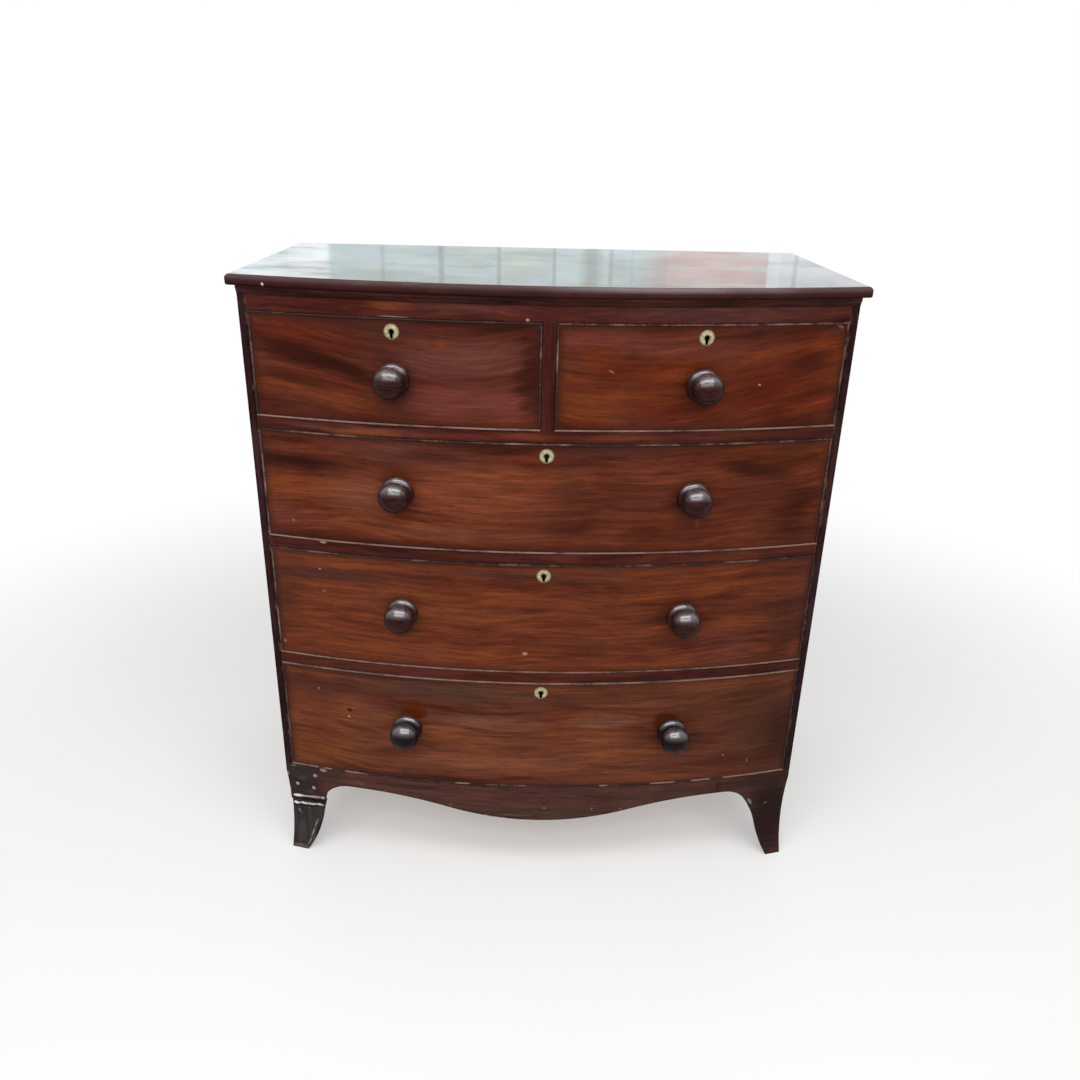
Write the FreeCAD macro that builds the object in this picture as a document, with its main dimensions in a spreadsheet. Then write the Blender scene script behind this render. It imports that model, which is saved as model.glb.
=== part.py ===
import FreeCAD, Part
import math
import os
import Sketcher

# Bow front chest of drawers: two short drawers over three long ones, graduated, in a carcass
# on splayed bracket feet.  The frame stands on the floor: +Z is up, the front looks to -Y, and
# the origin lies on the floor under the middle of the whole.  The bowed front is one arc in plan;
# whatever follows it is drawn about the centre of that arc.

V = FreeCAD.Vector
SAME_PLACE = 0.01

doc = FreeCAD.newDocument("BowFrontChest")
size = doc.addObject("Spreadsheet::Sheet", "size")
place = doc.addObject("Spreadsheet::Sheet", "place")


def fill_sheet(sheet, rows):
    """Write alias, value and note rows into a sheet."""
    for line, (alias, value, note) in enumerate(rows, start=1):
        sheet.set("A%d" % line, note)
        sheet.set("B%d" % line, str(value))
        sheet.setAlias("B%d" % line, alias)
    doc.recompute()


# Driving dimensions in millimetres.
fill_sheet(size, [
    ("carcass_width", 984, "across the outer faces of the sides"),
    ("side_depth", 480, "front corner to back along a side"),
    ("bow_rise", 66, "how far the front swells past its corners"),
    ("side_thickness", 14, "carcass side, seen from the front as the stile"),
    ("top_thickness", 17, "top board"),
    ("top_side_overhang", 15, "top past each side"),
    ("top_front_overhang", 9, "top past the bowed front"),
    ("nose_upper_radius", 6.5, "rounding of the top's upper edge"),
    ("nose_lower_radius", 3.5, "rounding of the top's lower edge"),
    ("moulding_height", 12, "cove moulding under the top"),
    ("moulding_reach", 5, "how far the moulding stands proud"),
    ("moulding_lip", 1.5, "thickness left at the foot of the cove"),
    ("cove_radius", 9, "hollow of the moulding"),
    ("frieze_height", 37, "top front rail"),
    ("rail_height", 19, "drawer rails and runners"),
    ("rail_depth", 60, "rails, back from the front corners"),
    ("divider_width", 21, "upright between the two short drawers"),
    ("short_drawer_height", 171, "fronts of the top pair"),
    ("second_drawer_height", 193, "front of the upper long drawer"),
    ("third_drawer_height", 212, "front of the middle long drawer"),
    ("bottom_drawer_height", 228, "front of the bottom drawer"),
    ("drawer_gap", 0.8, "clearance round every drawer front"),
    ("running_gap", 0.3, "clearance of drawer sides over their runners"),
    ("front_thickness", 22, "drawer fronts"),
    ("bead_width", 3, "cockbead, seen from the front"),
    ("bead_depth", 8, "cockbead let into the front"),
    ("bead_proud", 1.8, "cockbead past the drawer face"),
    ("bead_rounding", 1.2, "rounded nose of the cockbead"),
    ("box_side_thickness", 10, "drawer sides and backs"),
    ("box_side_drop", 5, "drawer sides below the top of the front"),
    ("box_back_drop", 14, "drawer back below the top of the front"),
    ("box_bottom_thickness", 7, "drawer bottoms"),
    ("box_bottom_rise", 9, "underside of the drawer bottom above the lower edge"),
    ("groove_depth", 5, "drawer bottom let into sides and front"),
    ("rear_clearance", 12, "drawer back to the backboards"),
    ("lap", 5, "wood left in front of the dovetails"),
    ("tail_width", 34, "wide end of each dovetail"),
    ("tail_neck", 26, "narrow end of each dovetail"),
    ("runner_width", 40, "side runners and kickers"),
    ("centre_runner_width", 64, "runner under both short drawers"),
    ("guide_height", 24, "centre guide between the short drawers"),
    ("dustboard_thickness", 6, "boards between the drawers"),
    ("stop_width", 26, "drawer stops"),
    ("stop_length", 22, "drawer stops, front to back"),
    ("stop_thickness", 5, "drawer stops above the rail"),
    ("stop_gap", 0.3, "drawer front to its stops"),
    ("long_stop_offset", 180, "stops of the long drawers from the middle"),
    ("short_stop_offset", 110, "stops of the short drawers from their middle"),
    ("backboard_thickness", 8, "backboards"),
    ("backboard_rebate", 7, "how far the backboards lap onto each side"),
    ("backboard_joint", 0.6, "gap between neighbouring backboards"),
    ("bottom_thickness", 18, "carcass bottom"),
    ("base_height", 204, "floor to the bottom drawer opening"),
    ("base_thickness", 20, "apron, brackets and skirts"),
    ("base_flare", 4, "outward sweep of the feet at the floor"),
    ("flare_radius", 834, "hollow of the swept feet"),
    ("apron_depth", 81, "apron in its middle, down from the drawer opening"),
    ("arch_depth", 34.5, "apron over the arches, down from the drawer opening"),
    ("foot_width", 145, "front feet, outer corner to the joint with the apron"),
    ("left_arch_radius", 60, "arch into the left front foot"),
    ("left_knee_width", 80, "left foot at its top, in from the outer corner"),
    ("left_knee_drop", 24.5, "top of the left foot below the arch"),
    ("left_shin_width", 62, "left foot at its bend"),
    ("left_shin_up", 70, "floor to the bend of the left foot"),
    ("left_toe_width", 29, "left foot at the floor"),
    ("left_upper_radius", 900, "left foot above its bend"),
    ("left_lower_radius", 215, "left foot below its bend"),
    ("right_arch_radius", 52, "arch into the right front foot"),
    ("right_knee_width", 91, "right foot at its top, in from the outer corner"),
    ("right_knee_drop", 18.5, "top of the right foot below the arch"),
    ("right_shin_width", 55, "right foot at its bend"),
    ("right_shin_up", 70, "floor to the bend of the right foot"),
    ("right_toe_width", 26, "right foot at the floor"),
    ("right_upper_radius", 255, "right foot above its bend"),
    ("right_lower_radius", 258, "right foot below its bend"),
    ("side_toe_width", 34, "foot at the floor, seen from the side"),
    ("side_knee_width", 66, "foot under its arch, seen from the side"),
    ("side_foot_width", 112, "foot where it meets the side skirt"),
    ("side_arch_radius", 52, "arch into the foot, seen from the side"),
    ("side_knee_drop", 20.8, "top of the foot below its arch, seen from the side"),
    ("side_leg_radius", 300, "hollow of the leg, seen from the side"),
    ("skirt_height", 28, "side skirts, down from the carcass bottom"),
    ("splice_height", 116, "floor to the joint of the mended foot"),
    ("splice_set_back", 2, "mended foot steps in at its joint"),
    ("block_width", 30, "glue blocks behind the feet"),
    ("block_clearance", 4, "glue blocks above the joint of the mended foot"),
    ("apron_block_length", 80, "glue blocks behind the apron"),
    ("apron_block_width", 24, "glue blocks behind the apron"),
    ("apron_block_offset", 210, "outer apron blocks from the middle"),
    ("fit_gap", 0.5, "flat blocks to the curved apron"),
    ("knob_radius", 23, "knob's bun at its widest"),
    ("bun_half_depth", 17, "half of the knob's bun, along its axis"),
    ("rim_radius", 11, "rounding of the bun's rim"),
    ("collar_radius", 27, "turned collar against the face"),
    ("collar_thickness", 12, "turned collar"),
    ("collar_swell", 4, "rounding of the collar's edge"),
    ("neck_radius", 15, "groove between collar and bun"),
    ("groove_width", 7, "groove between collar and bun"),
    ("spigot_radius", 7, "tenon of the knob through the front"),
    ("spigot_gap", 0.15, "clearance of the tenon in its hole"),
    ("short_knob_drop", 11, "knob below the middle of a short drawer"),
    ("long_knob_lift", 3, "knobs above the middle of a long drawer"),
    ("keyhole_drop", 21, "keyhole below the top of the front"),
    ("escutcheon_radius", 13, "brass escutcheon"),
    ("escutcheon_sink", 1, "escutcheon let into the face"),
    ("escutcheon_proud", 0.8, "escutcheon past the face"),
    ("keyhole_radius", 3.4, "round part of the keyhole"),
    ("keyway_width", 3.6, "straight part of the keyhole"),
    ("keyway_length", 10, "straight part of the keyhole, down from its centre"),
    ("lock_width", 60, "lock case"),
    ("lock_height", 40, "lock case"),
    ("lock_depth", 11, "lock let into the back of the front"),
    ("lock_proud", 1, "lock past the back of the front"),
    ("bolt_width", 24, "lock bolt"),
    ("bolt_thickness", 6, "lock bolt"),
    ("bolt_length", 20, "lock bolt"),
    ("bolt_sink", 0.3, "bolt below the top of the lock"),
    ("bolt_gap", 0.3, "clearance round the bolt"),
    ("mortise_gap", 1.2, "clearance of the bolt in its mortise"),
    ("mortise_depth", 8, "mortise in the rail above"),
    ("first_screw_in", 21, "first repair screw, in from the outer corner"),
    ("first_screw_down", 46, "first repair screw, down from the drawer opening"),
    ("second_screw_in", 59, "second repair screw, in from the outer corner"),
    ("second_screw_down", 20, "second repair screw, down from the drawer opening"),
    ("third_screw_in", 54, "third repair screw, in from the outer corner"),
    ("third_screw_down", 50, "third repair screw, down from the drawer opening"),
    ("screw_radius", 4, "repair screw heads"),
    ("screw_length", 14, "repair screws"),
    ("screw_proud", 0.5, "repair screw heads past the foot"),
    ("backboard_count", 4, "backboards"),
    ("short_tails", 3, "dovetails at each corner of a short drawer"),
    ("second_tails", 3, "dovetails at each corner of the upper long drawer"),
    ("third_tails", 4, "dovetails at each corner of the middle long drawer"),
    ("bottom_tails", 4, "dovetails at each corner of the bottom drawer"),
    ("overcut", 2, "how far a cutting shape reaches past the surface it opens"),
])

# Places worked out from the driving dimensions.
fill_sheet(place, [
    ("half_carcass", "=size.carcass_width / 2", "middle to the outside of a side"),
    ("half_opening", "=half_carcass - size.side_thickness", "middle to the inside of a side"),
    ("half_divider", "=size.divider_width / 2", "middle to the short drawers' openings"),
    ("knob_offset", "=(half_opening + half_divider) / 2", "middle of a short drawer"),
    ("bow_radius", "=(half_carcass^2 + size.bow_rise^2) / (2 * size.bow_rise)", "arc of the front"),
    ("rim_ring", "=size.knob_radius - size.rim_radius", "knob's axis to the centre of its rim"),
    ("bun_radius", "=(rim_ring^2 + size.bun_half_depth^2 - size.rim_radius^2)"
     " / (2 * (size.bun_half_depth - size.rim_radius))", "both faces of the bun"),
    ("bun_centre", "=bun_radius - size.bun_half_depth", "widest to the centre of either face"),
    ("bun_edge", "=bun_radius * rim_ring / (bun_radius - size.rim_radius)", "axis to where the rim starts"),
    ("bun_rise", "=bun_radius * bun_centre / (bun_radius - size.rim_radius) - bun_centre",
     "widest to where the rim starts"),
    ("neck_rise", "=sqrt(bun_radius^2 - size.neck_radius^2) - bun_centre",
     "widest to the end of the groove"),
    ("knob_widest", "=size.collar_thickness + size.groove_width + neck_rise", "face to the widest"),
    ("knob_reach", "=knob_widest + size.bun_half_depth", "knob past the drawer face"),
    ("knob_swing", "=asin(knob_offset / bow_radius)", "turn of the knobs about the arc's centre"),
    ("knob_front", "=(bow_radius + knob_reach) * cos(knob_swing)", "arc's centre to the knobs"),
    ("back_plane", "=(size.side_depth + size.bow_rise - bow_radius + knob_front) / 2", "back"),
    ("corner_plane", "=back_plane - size.side_depth", "front corners of the carcass"),
    ("arc_centre", "=corner_plane + bow_radius - size.bow_rise", "centre of the front's arc"),
    ("board_plane", "=back_plane - size.backboard_thickness", "inside of the backboards"),
    ("rail_back", "=corner_plane + size.rail_depth", "rear edge of the rails"),
    ("base_under", "=size.base_height - size.bottom_thickness", "underside of the carcass bottom"),
    ("pitch_gap", "=2 * size.drawer_gap + size.rail_height", "from one front to the next above"),
    ("bottom_level", "=size.base_height", "bottom drawer's opening"),
    ("third_level", "=bottom_level + size.bottom_drawer_height + pitch_gap", "third opening"),
    ("second_level", "=third_level + size.third_drawer_height + pitch_gap", "second opening"),
    ("short_level", "=second_level + size.second_drawer_height + pitch_gap", "top openings"),
    ("opening_top", "=short_level + size.short_drawer_height + 2 * size.drawer_gap", "frieze rail"),
    ("carcass_top", "=opening_top + size.frieze_height", "underside of the top"),
    ("front_inner", "=bow_radius - size.front_thickness", "back of the drawer fronts"),
    ("bead_seat", "=bow_radius - size.bead_depth", "bottom of the cockbead's rebate"),
    ("box_rear", "=board_plane - size.rear_clearance", "back of the drawer boxes"),
    ("base_inner", "=bow_radius - size.base_thickness", "back of the apron"),
    ("lock_seat", "=bow_radius - size.lock_depth", "front of the lock case"),
    ("lock_back", "=front_inner - size.lock_proud", "back of the lock case"),
    ("bolt_ring", "=(lock_seat + lock_back) / 2", "arc's centre to the middle of the bolt"),
    ("apron_low", "=size.base_height - size.apron_depth", "floor to the lowest point of the apron"),
    ("arch_top", "=size.base_height - size.arch_depth", "floor to the arches beside the feet"),
    ("apron_half", "=half_carcass - size.foot_width", "middle to the joint of apron and foot"),
    ("side_arch_top", "=base_under - size.skirt_height", "floor to the side skirts"),
    ("base_outside", "=half_carcass + 2 * size.base_flare", "clear of the swept feet"),
    ("tool_reach", "=size.carcass_width + size.side_depth", "shapes that pass right through the base"),
])


def worked(expression):
    """Value of an expression over the two sheets."""
    value = size.evalExpression(expression)
    return float(getattr(value, "Value", value))


def bind(piece, **expressions):
    """Tie properties to expressions; a double underscore stands for a dot."""
    for name, expression in expressions.items():
        piece.setExpression(name.replace("__", "."), expression)
    return piece


def boolean(kind, name, pieces):
    """Part boolean of two objects, or a fuse of several."""
    result = doc.addObject("Part::" + kind, name)
    if kind in ("Cut", "Common"):
        result.Base, result.Tool = pieces
    else:
        result.Shapes = pieces
    return result


def cut(name, base, tool):
    return boolean("Cut", name, (base, tool))


def common(name, base, tool):
    return boolean("Common", name, (base, tool))


def fuse(name, pieces):
    return boolean("MultiFuse", name, pieces)


def group(name, pieces):
    """Separate solids kept side by side in one object."""
    result = doc.addObject("Part::Compound", name)
    result.Links = pieces
    return result


def box(name, x, y, z):
    """Box between pairs of expressions."""
    piece = doc.addObject("Part::Box", name)
    for side, axis, (low, high) in zip(("Length", "Width", "Height"), "xyz", (x, y, z)):
        piece.setExpression(side, "(%s) - (%s)" % (high, low))
        piece.setExpression("Placement.Base." + axis, low)
    return piece


def on_bow(piece, swing="0"):
    """Move a piece drawn about the arc's centre onto the chest, swung along the front."""
    return bind(piece, Placement__Base__y="place.arc_centre", Placement__Rotation__Angle=swing)


def peg(name, radius, start, end, up):
    """Cylinder square to the bow, between two distances from the arc's centre."""
    piece = doc.addObject("Part::Cylinder", name)
    piece.Placement.Rotation = FreeCAD.Rotation(V(1, 0, 0), 90)
    return bind(piece, Radius=radius, Height="(%s) - (%s)" % (end, start),
                Placement__Base__y="-(%s)" % start, Placement__Base__z=up)


def bow_drum(name, radius, z):
    """Upright cylinder about the arc's centre."""
    drum = doc.addObject("Part::Cylinder", name)
    return bind(drum, Radius=radius, Height="(%s) - (%s)" % (z[1], z[0]),
                Placement__Base__y="place.arc_centre", Placement__Base__z=z[0])


def origin_plane(body, role):
    """One of a body's own origin planes."""
    for feature in body.Origin.OriginFeatures:
        if feature.Role == role:
            return feature
    raise ValueError(role)


def new_sketch(body, role, name):
    """Sketch on one of a body's origin planes."""
    sketch = body.newObject("Sketcher::SketchObject", name)
    sketch.AttachmentSupport = [(origin_plane(body, role), "")]
    sketch.MapMode = "FlatFace"
    return sketch


def constrain(sketch, name, expression, kind, *where):
    """Named constraint whose value follows an expression."""
    index = sketch.addConstraint(Sketcher.Constraint(kind, *where, worked(expression)))
    sketch.renameConstraint(index, name)
    sketch.setExpression("Constraints." + name, expression)


def bow_body(name, x, outer, rear, z, flat=False):
    """Board with a bowed front edge, padded upwards.

    outer is the radius of the front edge.  rear is the radius of the rear edge, or with flat
    the place of a straight rear edge.
    """
    body = doc.addObject("PartDesign::Body", name)
    sketch = new_sketch(body, "XY_Plane", name + "_plan")
    left, right = worked(x[0]), worked(x[1])
    front_radius = worked(outer)
    centre = V(0, 0, 0)
    upright = V(0, 0, 1)

    def on_arc(across, radius):
        return V(across, -math.sqrt(radius ** 2 - across ** 2), 0)

    def arc_between(radius):
        start = math.atan2(on_arc(left, radius).y, left)
        end = math.atan2(on_arc(right, radius).y, right)
        return Part.ArcOfCircle(Part.Circle(centre, upright, radius), start, end)

    if flat:
        rear_line = "(%s) - place.arc_centre" % rear
        rear_left = V(left, worked(rear_line), 0)
        rear_right = V(right, worked(rear_line), 0)
        rear_edge = Part.LineSegment(rear_left, rear_right)
    else:
        rear_left = on_arc(left, worked(rear))
        rear_right = on_arc(right, worked(rear))
        rear_edge = arc_between(worked(rear))
    sketch.addGeometry(arc_between(front_radius))
    sketch.addGeometry(Part.LineSegment(on_arc(right, front_radius), rear_right))
    sketch.addGeometry(rear_edge)
    sketch.addGeometry(Part.LineSegment(rear_left, on_arc(left, front_radius)))
    for first, second in (((0, 2), (1, 1)), ((1, 2), (2, 2)), ((2, 1), (3, 1)), ((3, 2), (0, 1))):
        sketch.addConstraint(Sketcher.Constraint("Coincident", *first, *second))
    sketch.addConstraint(Sketcher.Constraint("Coincident", 0, 3, -1, 1))
    for line in (1, 3):
        sketch.addConstraint(Sketcher.Constraint("Vertical", line))
    constrain(sketch, "left_edge", x[0], "DistanceX", -1, 1, 0, 1)
    constrain(sketch, "right_edge", x[1], "DistanceX", -1, 1, 0, 2)
    constrain(sketch, "front_radius", outer, "Radius", 0)
    if flat:
        sketch.addConstraint(Sketcher.Constraint("Horizontal", 2))
        constrain(sketch, "rear_line", rear_line, "DistanceY", -1, 1, 2, 1)
    else:
        sketch.addConstraint(Sketcher.Constraint("Coincident", 2, 3, -1, 1))
        constrain(sketch, "rear_radius", rear, "Radius", 2)
    doc.recompute()
    pad = body.newObject("PartDesign::Pad", name + "_pad")
    pad.Profile = sketch
    pad.setExpression("Length", "(%s) - (%s)" % (z[1], z[0]))
    return bind(body, Placement__Base__y="place.arc_centre", Placement__Base__z=z[0])


def arc_edge(start, end, radius, bulge):
    """Arc from start to end; bulge is 1 when it swells to the right of the way, -1 to the left."""
    middle = (start + end) * 0.5
    half = (end - start) * 0.5
    to_centre = V(-half.y, half.x, 0)
    to_centre.normalize()
    rise = math.sqrt(max(radius ** 2 - half.Length ** 2, 0))
    centre = middle + to_centre * rise * bulge
    first = math.atan2(start.y - centre.y, start.x - centre.x)
    last = math.atan2(end.y - centre.y, end.x - centre.x)
    circle = Part.Circle(centre, V(0, 0, 1), radius)
    if bulge > 0:
        return Part.ArcOfCircle(circle, first, last), 1, 2
    return Part.ArcOfCircle(circle, last, first), 2, 1


def outline_sketch(body, role, name, corners, arcs):
    """Closed outline through corners, given as pairs of expressions.

    arcs maps the number of a side, which starts at that corner, to its radius and bulge.
    """
    sketch = new_sketch(body, role, name)
    points = [V(worked(across), worked(up), 0) for across, up in corners]
    ends = []
    for side, start in enumerate(points):
        end = points[(side + 1) % len(points)]
        if side in arcs:
            radius, bulge = arcs[side]
            edge, first, last = arc_edge(start, end, worked(radius), bulge)
        else:
            edge, first, last = Part.LineSegment(start, end), 1, 2
        sketch.addGeometry(edge)
        ends.append((first, last))
    for side in range(len(points)):
        following = (side + 1) % len(points)
        sketch.addConstraint(Sketcher.Constraint(
            "Coincident", side, ends[side][1], following, ends[following][0]))
    for side, (across, up) in enumerate(corners):
        corner = (-1, 1, side, ends[side][0])
        constrain(sketch, "across_%d" % side, across, "DistanceX", *corner)
        constrain(sketch, "up_%d" % side, up, "DistanceY", *corner)
    for side, (radius, bulge) in arcs.items():
        constrain(sketch, "radius_%d" % side, radius, "Radius", side)
    doc.recompute()
    return sketch


def outline_body(name, role, corners, arcs, length):
    """Outline padded equally to both sides of its plane."""
    body = doc.addObject("PartDesign::Body", name)
    sketch = outline_sketch(body, role, name + "_outline", corners, arcs)
    pad = body.newObject("PartDesign::Pad", name + "_pad")
    pad.Profile = sketch
    pad.Midplane = True
    pad.setExpression("Length", length)
    return body


def turned_body(name, role, corners, arcs):
    """Outline turned about the upright axis of its sketch."""
    body = doc.addObject("PartDesign::Body", name)
    sketch = outline_sketch(body, role, name + "_section", corners, arcs)
    turning = body.newObject("PartDesign::Revolution", name + "_turning")
    turning.Profile = sketch
    turning.ReferenceAxis = (sketch, ["V_Axis"])
    turning.Angle = 360
    return body


def arc_y(across, radius):
    """Place of the front or another concentric arc at a distance from the middle."""
    return "(place.arc_centre - sqrt((%s)^2 - (%s)^2))" % (radius, across)


nodes = {}


def node(name, piece):
    """Register a finished sub-part under the name of its file."""
    piece.Label = name
    nodes[name] = piece
    return piece


def both_sides(low, high):
    """The same span on the right and on the left of the middle."""
    return (("right", (low, high)), ("left", ("-(%s)" % high, "-(%s)" % low)))


# ---- top ----

def make_top():
    """Top board with a rounded edge to the front and sides, and the cove moulding under it."""
    reach = "place.half_carcass + size.top_side_overhang"
    top = bow_body("TopBoard", ("-(%s)" % reach, reach), "place.bow_radius + size.top_front_overhang",
                   "place.back_plane",
                   ("place.carcass_top", "place.carcass_top + size.top_thickness"), flat=True)
    doc.recompute()
    pad = top.Tip
    rear = worked("place.back_plane - place.arc_centre")
    thickness = worked("size.top_thickness")
    for level, radius in ((thickness, "size.nose_upper_radius"), (0, "size.nose_lower_radius")):
        edges = []
        for index, edge in enumerate(pad.Shape.Edges, start=1):
            bounds = edge.BoundBox
            level_edge = max(abs(bounds.ZMin - level), abs(bounds.ZMax - level)) < SAME_PLACE
            if level_edge and bounds.YMin < rear - SAME_PLACE:
                edges.append("Edge%d" % index)
        rounding = top.newObject("PartDesign::Fillet", "TopRounding")
        rounding.Base = (pad, edges)
        rounding.setExpression("Radius", radius)
        doc.recompute()
        pad = rounding
    node("top_board", top)

    foot_of_cove = "place.carcass_top - size.moulding_height"
    strip = bow_body("MouldingStrip", ("-place.half_carcass", "place.half_carcass"),
                     "place.bow_radius + size.moulding_reach", "place.bow_radius",
                     (foot_of_cove, "place.carcass_top"))
    hollow = doc.addObject("Part::Torus", "Cove")
    bind(hollow, Radius1="place.bow_radius + size.moulding_lip + size.cove_radius",
         Radius2="size.cove_radius", Placement__Base__y="place.arc_centre",
         Placement__Base__z=foot_of_cove)
    node("top_moulding", cut("Moulding", strip, hollow))


# ---- carcass ----

def mortise(name, swing, underside):
    """Slot in a rail for the bolt of the drawer below it."""
    half_width = "size.bolt_width / 2 + size.mortise_gap"
    half_thickness = "(size.bolt_thickness / 2 + size.mortise_gap)"
    slot = box(name + "_slot", ("-(%s)" % half_width, half_width),
               ("-place.bolt_ring - " + half_thickness, "-place.bolt_ring + " + half_thickness),
               ("%s - size.overcut" % underside, "%s + size.mortise_depth" % underside))
    return on_bow(group(name, [slot]), swing)


def make_rails():
    """Front rails with their lock mortises, the divider and the rear top rail."""
    across = ("-place.half_opening", "place.half_opening")
    frieze = bow_body("FriezeBoard", across, "place.bow_radius", "place.rail_back",
                      ("place.opening_top", "place.carcass_top"), flat=True)
    slots = [mortise("FriezeMortise_" + side, turn + "place.knob_swing", "place.opening_top")
             for side, turn in (("right", ""), ("left", "-"))]
    node("frieze_rail", cut("FriezeRail", frieze, group("FriezeMortises", slots)))

    rails = []
    for level in ("third", "second", "short"):
        underside = "place.%s_level - size.rail_height" % level
        rail = bow_body("Rail_" + level, across, "place.bow_radius", "place.rail_back",
                        (underside, "place.%s_level" % level), flat=True)
        rails.append(cut("MortisedRail_" + level, rail, mortise("Mortise_" + level, "0", underside)))
    node("drawer_rails", group("DrawerRails", rails))

    node("centre_divider", bow_body(
        "Divider", ("-place.half_divider", "place.half_divider"), "place.bow_radius",
        "place.rail_back", ("place.short_level", "place.opening_top"), flat=True))
    node("rear_top_rail", box(
        "RearRail", across, ("place.board_plane - size.rail_depth", "place.board_plane"),
        ("place.opening_top", "place.carcass_top")))


def make_backboards():
    """Four horizontal boards, let into the rear edges of the sides."""
    boards = []
    count = int(worked("size.backboard_count"))
    reach = "place.half_opening + size.backboard_rebate"
    pitch = "((place.carcass_top - place.base_under) / size.backboard_count)"
    for number in range(count):
        low = "place.base_under + %d * %s" % (number, pitch)
        high = "place.base_under + %d * %s - size.backboard_joint" % (number + 1, pitch)
        boards.append(box("Backboard_%d" % number, ("-(%s)" % reach, reach),
                          ("place.board_plane", "place.back_plane"), (low, high)))
    return node("backboards", group("Backboards", boards))


def make_sides(backboards):
    """Carcass sides: the bowed front edge is the stile, the foot of it sits behind the bracket."""
    for side, across in both_sides("place.half_opening", "place.half_carcass"):
        upper = bow_body("SideUpper_" + side, across, "place.bow_radius", "place.back_plane",
                         ("size.base_height", "place.carcass_top"), flat=True)
        lower = bow_body("SideLower_" + side, across, "place.base_inner", "place.back_plane",
                         ("place.base_under", "size.base_height"), flat=True)
        panel = fuse("SidePanel_" + side, [upper, lower])
        node("side_" + side, cut("RebatedSide_" + side, panel, backboards))


def make_inside():
    """Carcass bottom, runners, kickers, guide and dustboards."""
    run = ("place.rail_back", "place.board_plane")
    node("bottom_board", bow_body(
        "BottomBoard", ("-place.half_opening", "place.half_opening"), "place.base_inner",
        "place.board_plane", ("place.base_under", "size.base_height"), flat=True))

    inner = "place.half_opening - size.runner_width"
    half_centre = "size.centre_runner_width / 2"
    runners = []
    dustboards = []
    for level in ("third", "second", "short"):
        top = "place.%s_level" % level
        for side, across in both_sides(inner, "place.half_opening"):
            runners.append(box("Runner_%s_%s" % (level, side), across, run,
                               (top + " - size.rail_height", top)))
        half_board = "size.dustboard_thickness / 2"
        middle = top + " - size.rail_height / 2"
        heights = ("%s - %s" % (middle, half_board), "%s + %s" % (middle, half_board))
        if level == "short":
            for side, across in both_sides(half_centre, inner):
                dustboards.append(box("Dustboard_short_" + side, across, run, heights))
        else:
            dustboards.append(box("Dustboard_" + level, ("-(%s)" % inner, inner), run, heights))
    node("drawer_runners", group("DrawerRunners", runners))
    node("dustboards", group("Dustboards", dustboards))

    centre = ("-" + half_centre, half_centre)
    runner = box("CentreRunner", centre, run, ("place.short_level - size.rail_height",
                                               "place.short_level"))
    guide = box("CentreGuide", ("-place.half_divider", "place.half_divider"), run,
                ("place.short_level", "place.short_level + size.guide_height"))
    node("centre_runner", group("CentreRunnerAndGuide", [runner, guide]))

    kicker_run = ("place.rail_back", "place.board_plane - size.rail_depth")
    kicker_up = ("place.opening_top", "place.opening_top + size.rail_height")
    kickers = [box("Kicker_" + side, across, kicker_run, kicker_up)
               for side, across in both_sides(inner, "place.half_opening")]
    kickers.append(box("Kicker_centre", centre, kicker_run, kicker_up))
    node("kickers", group("Kickers", kickers))


def drawer_stop(name, swing, level):
    """Small block on a rail that meets the back of a drawer front."""
    block = box(name + "_block", ("-size.stop_width / 2", "size.stop_width / 2"),
                ("-place.front_inner + size.stop_gap",
                 "-place.front_inner + size.stop_gap + size.stop_length"),
                (level, level + " + size.stop_thickness"))
    return on_bow(group(name, [block]), swing)


def make_stops():
    """Two stops for every drawer, short ones set about each short drawer's middle."""
    stops = []
    long_swing = "asin(size.long_stop_offset / place.front_inner)"
    for level in ("bottom", "third", "second"):
        for side, turn in (("right", ""), ("left", "-")):
            stops.append(drawer_stop("Stop_%s_%s" % (level, side), turn + long_swing,
                                     "place.%s_level" % level))
    for side, turn in (("right", ""), ("left", "-")):
        for spot, sign in (("inner", "-"), ("outer", "+")):
            swing = "asin((place.knob_offset %s size.short_stop_offset) / place.front_inner)" % sign
            stops.append(drawer_stop("Stop_short_%s_%s" % (side, spot), turn + swing,
                                     "place.short_level"))
    node("drawer_stops", group("DrawerStops", stops))


# ---- base ----

def make_base_envelope():
    """Outside of the base: the bow in front and the sides, both swept out towards the floor."""
    toe = "size.base_flare"
    turned = turned_body("BaseTurning", "XZ_Plane", [
        ("0", "0"), ("place.bow_radius + " + toe, "0"), ("place.bow_radius", "place.base_under"),
        ("place.bow_radius", "size.base_height"), ("0", "size.base_height"),
    ], {1: ("size.flare_radius", -1)})
    on_bow(turned)
    flanks = outline_body("BaseFlanks", "XZ_Plane", [
        ("-(place.half_carcass + %s)" % toe, "0"), ("place.half_carcass + " + toe, "0"),
        ("place.half_carcass", "place.base_under"), ("place.half_carcass", "size.base_height"),
        ("-place.half_carcass", "size.base_height"), ("-place.half_carcass", "place.base_under"),
    ], {1: ("size.flare_radius", -1), 5: ("size.flare_radius", -1)}, "2 * place.tool_reach")
    return common("BaseEnvelope", turned, flanks)


def arch_run(radius, drop):
    """How far an arch of a radius runs while it drops from its level top."""
    return "sqrt(2 * %s * %s - %s^2)" % (radius, drop, drop)


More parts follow.
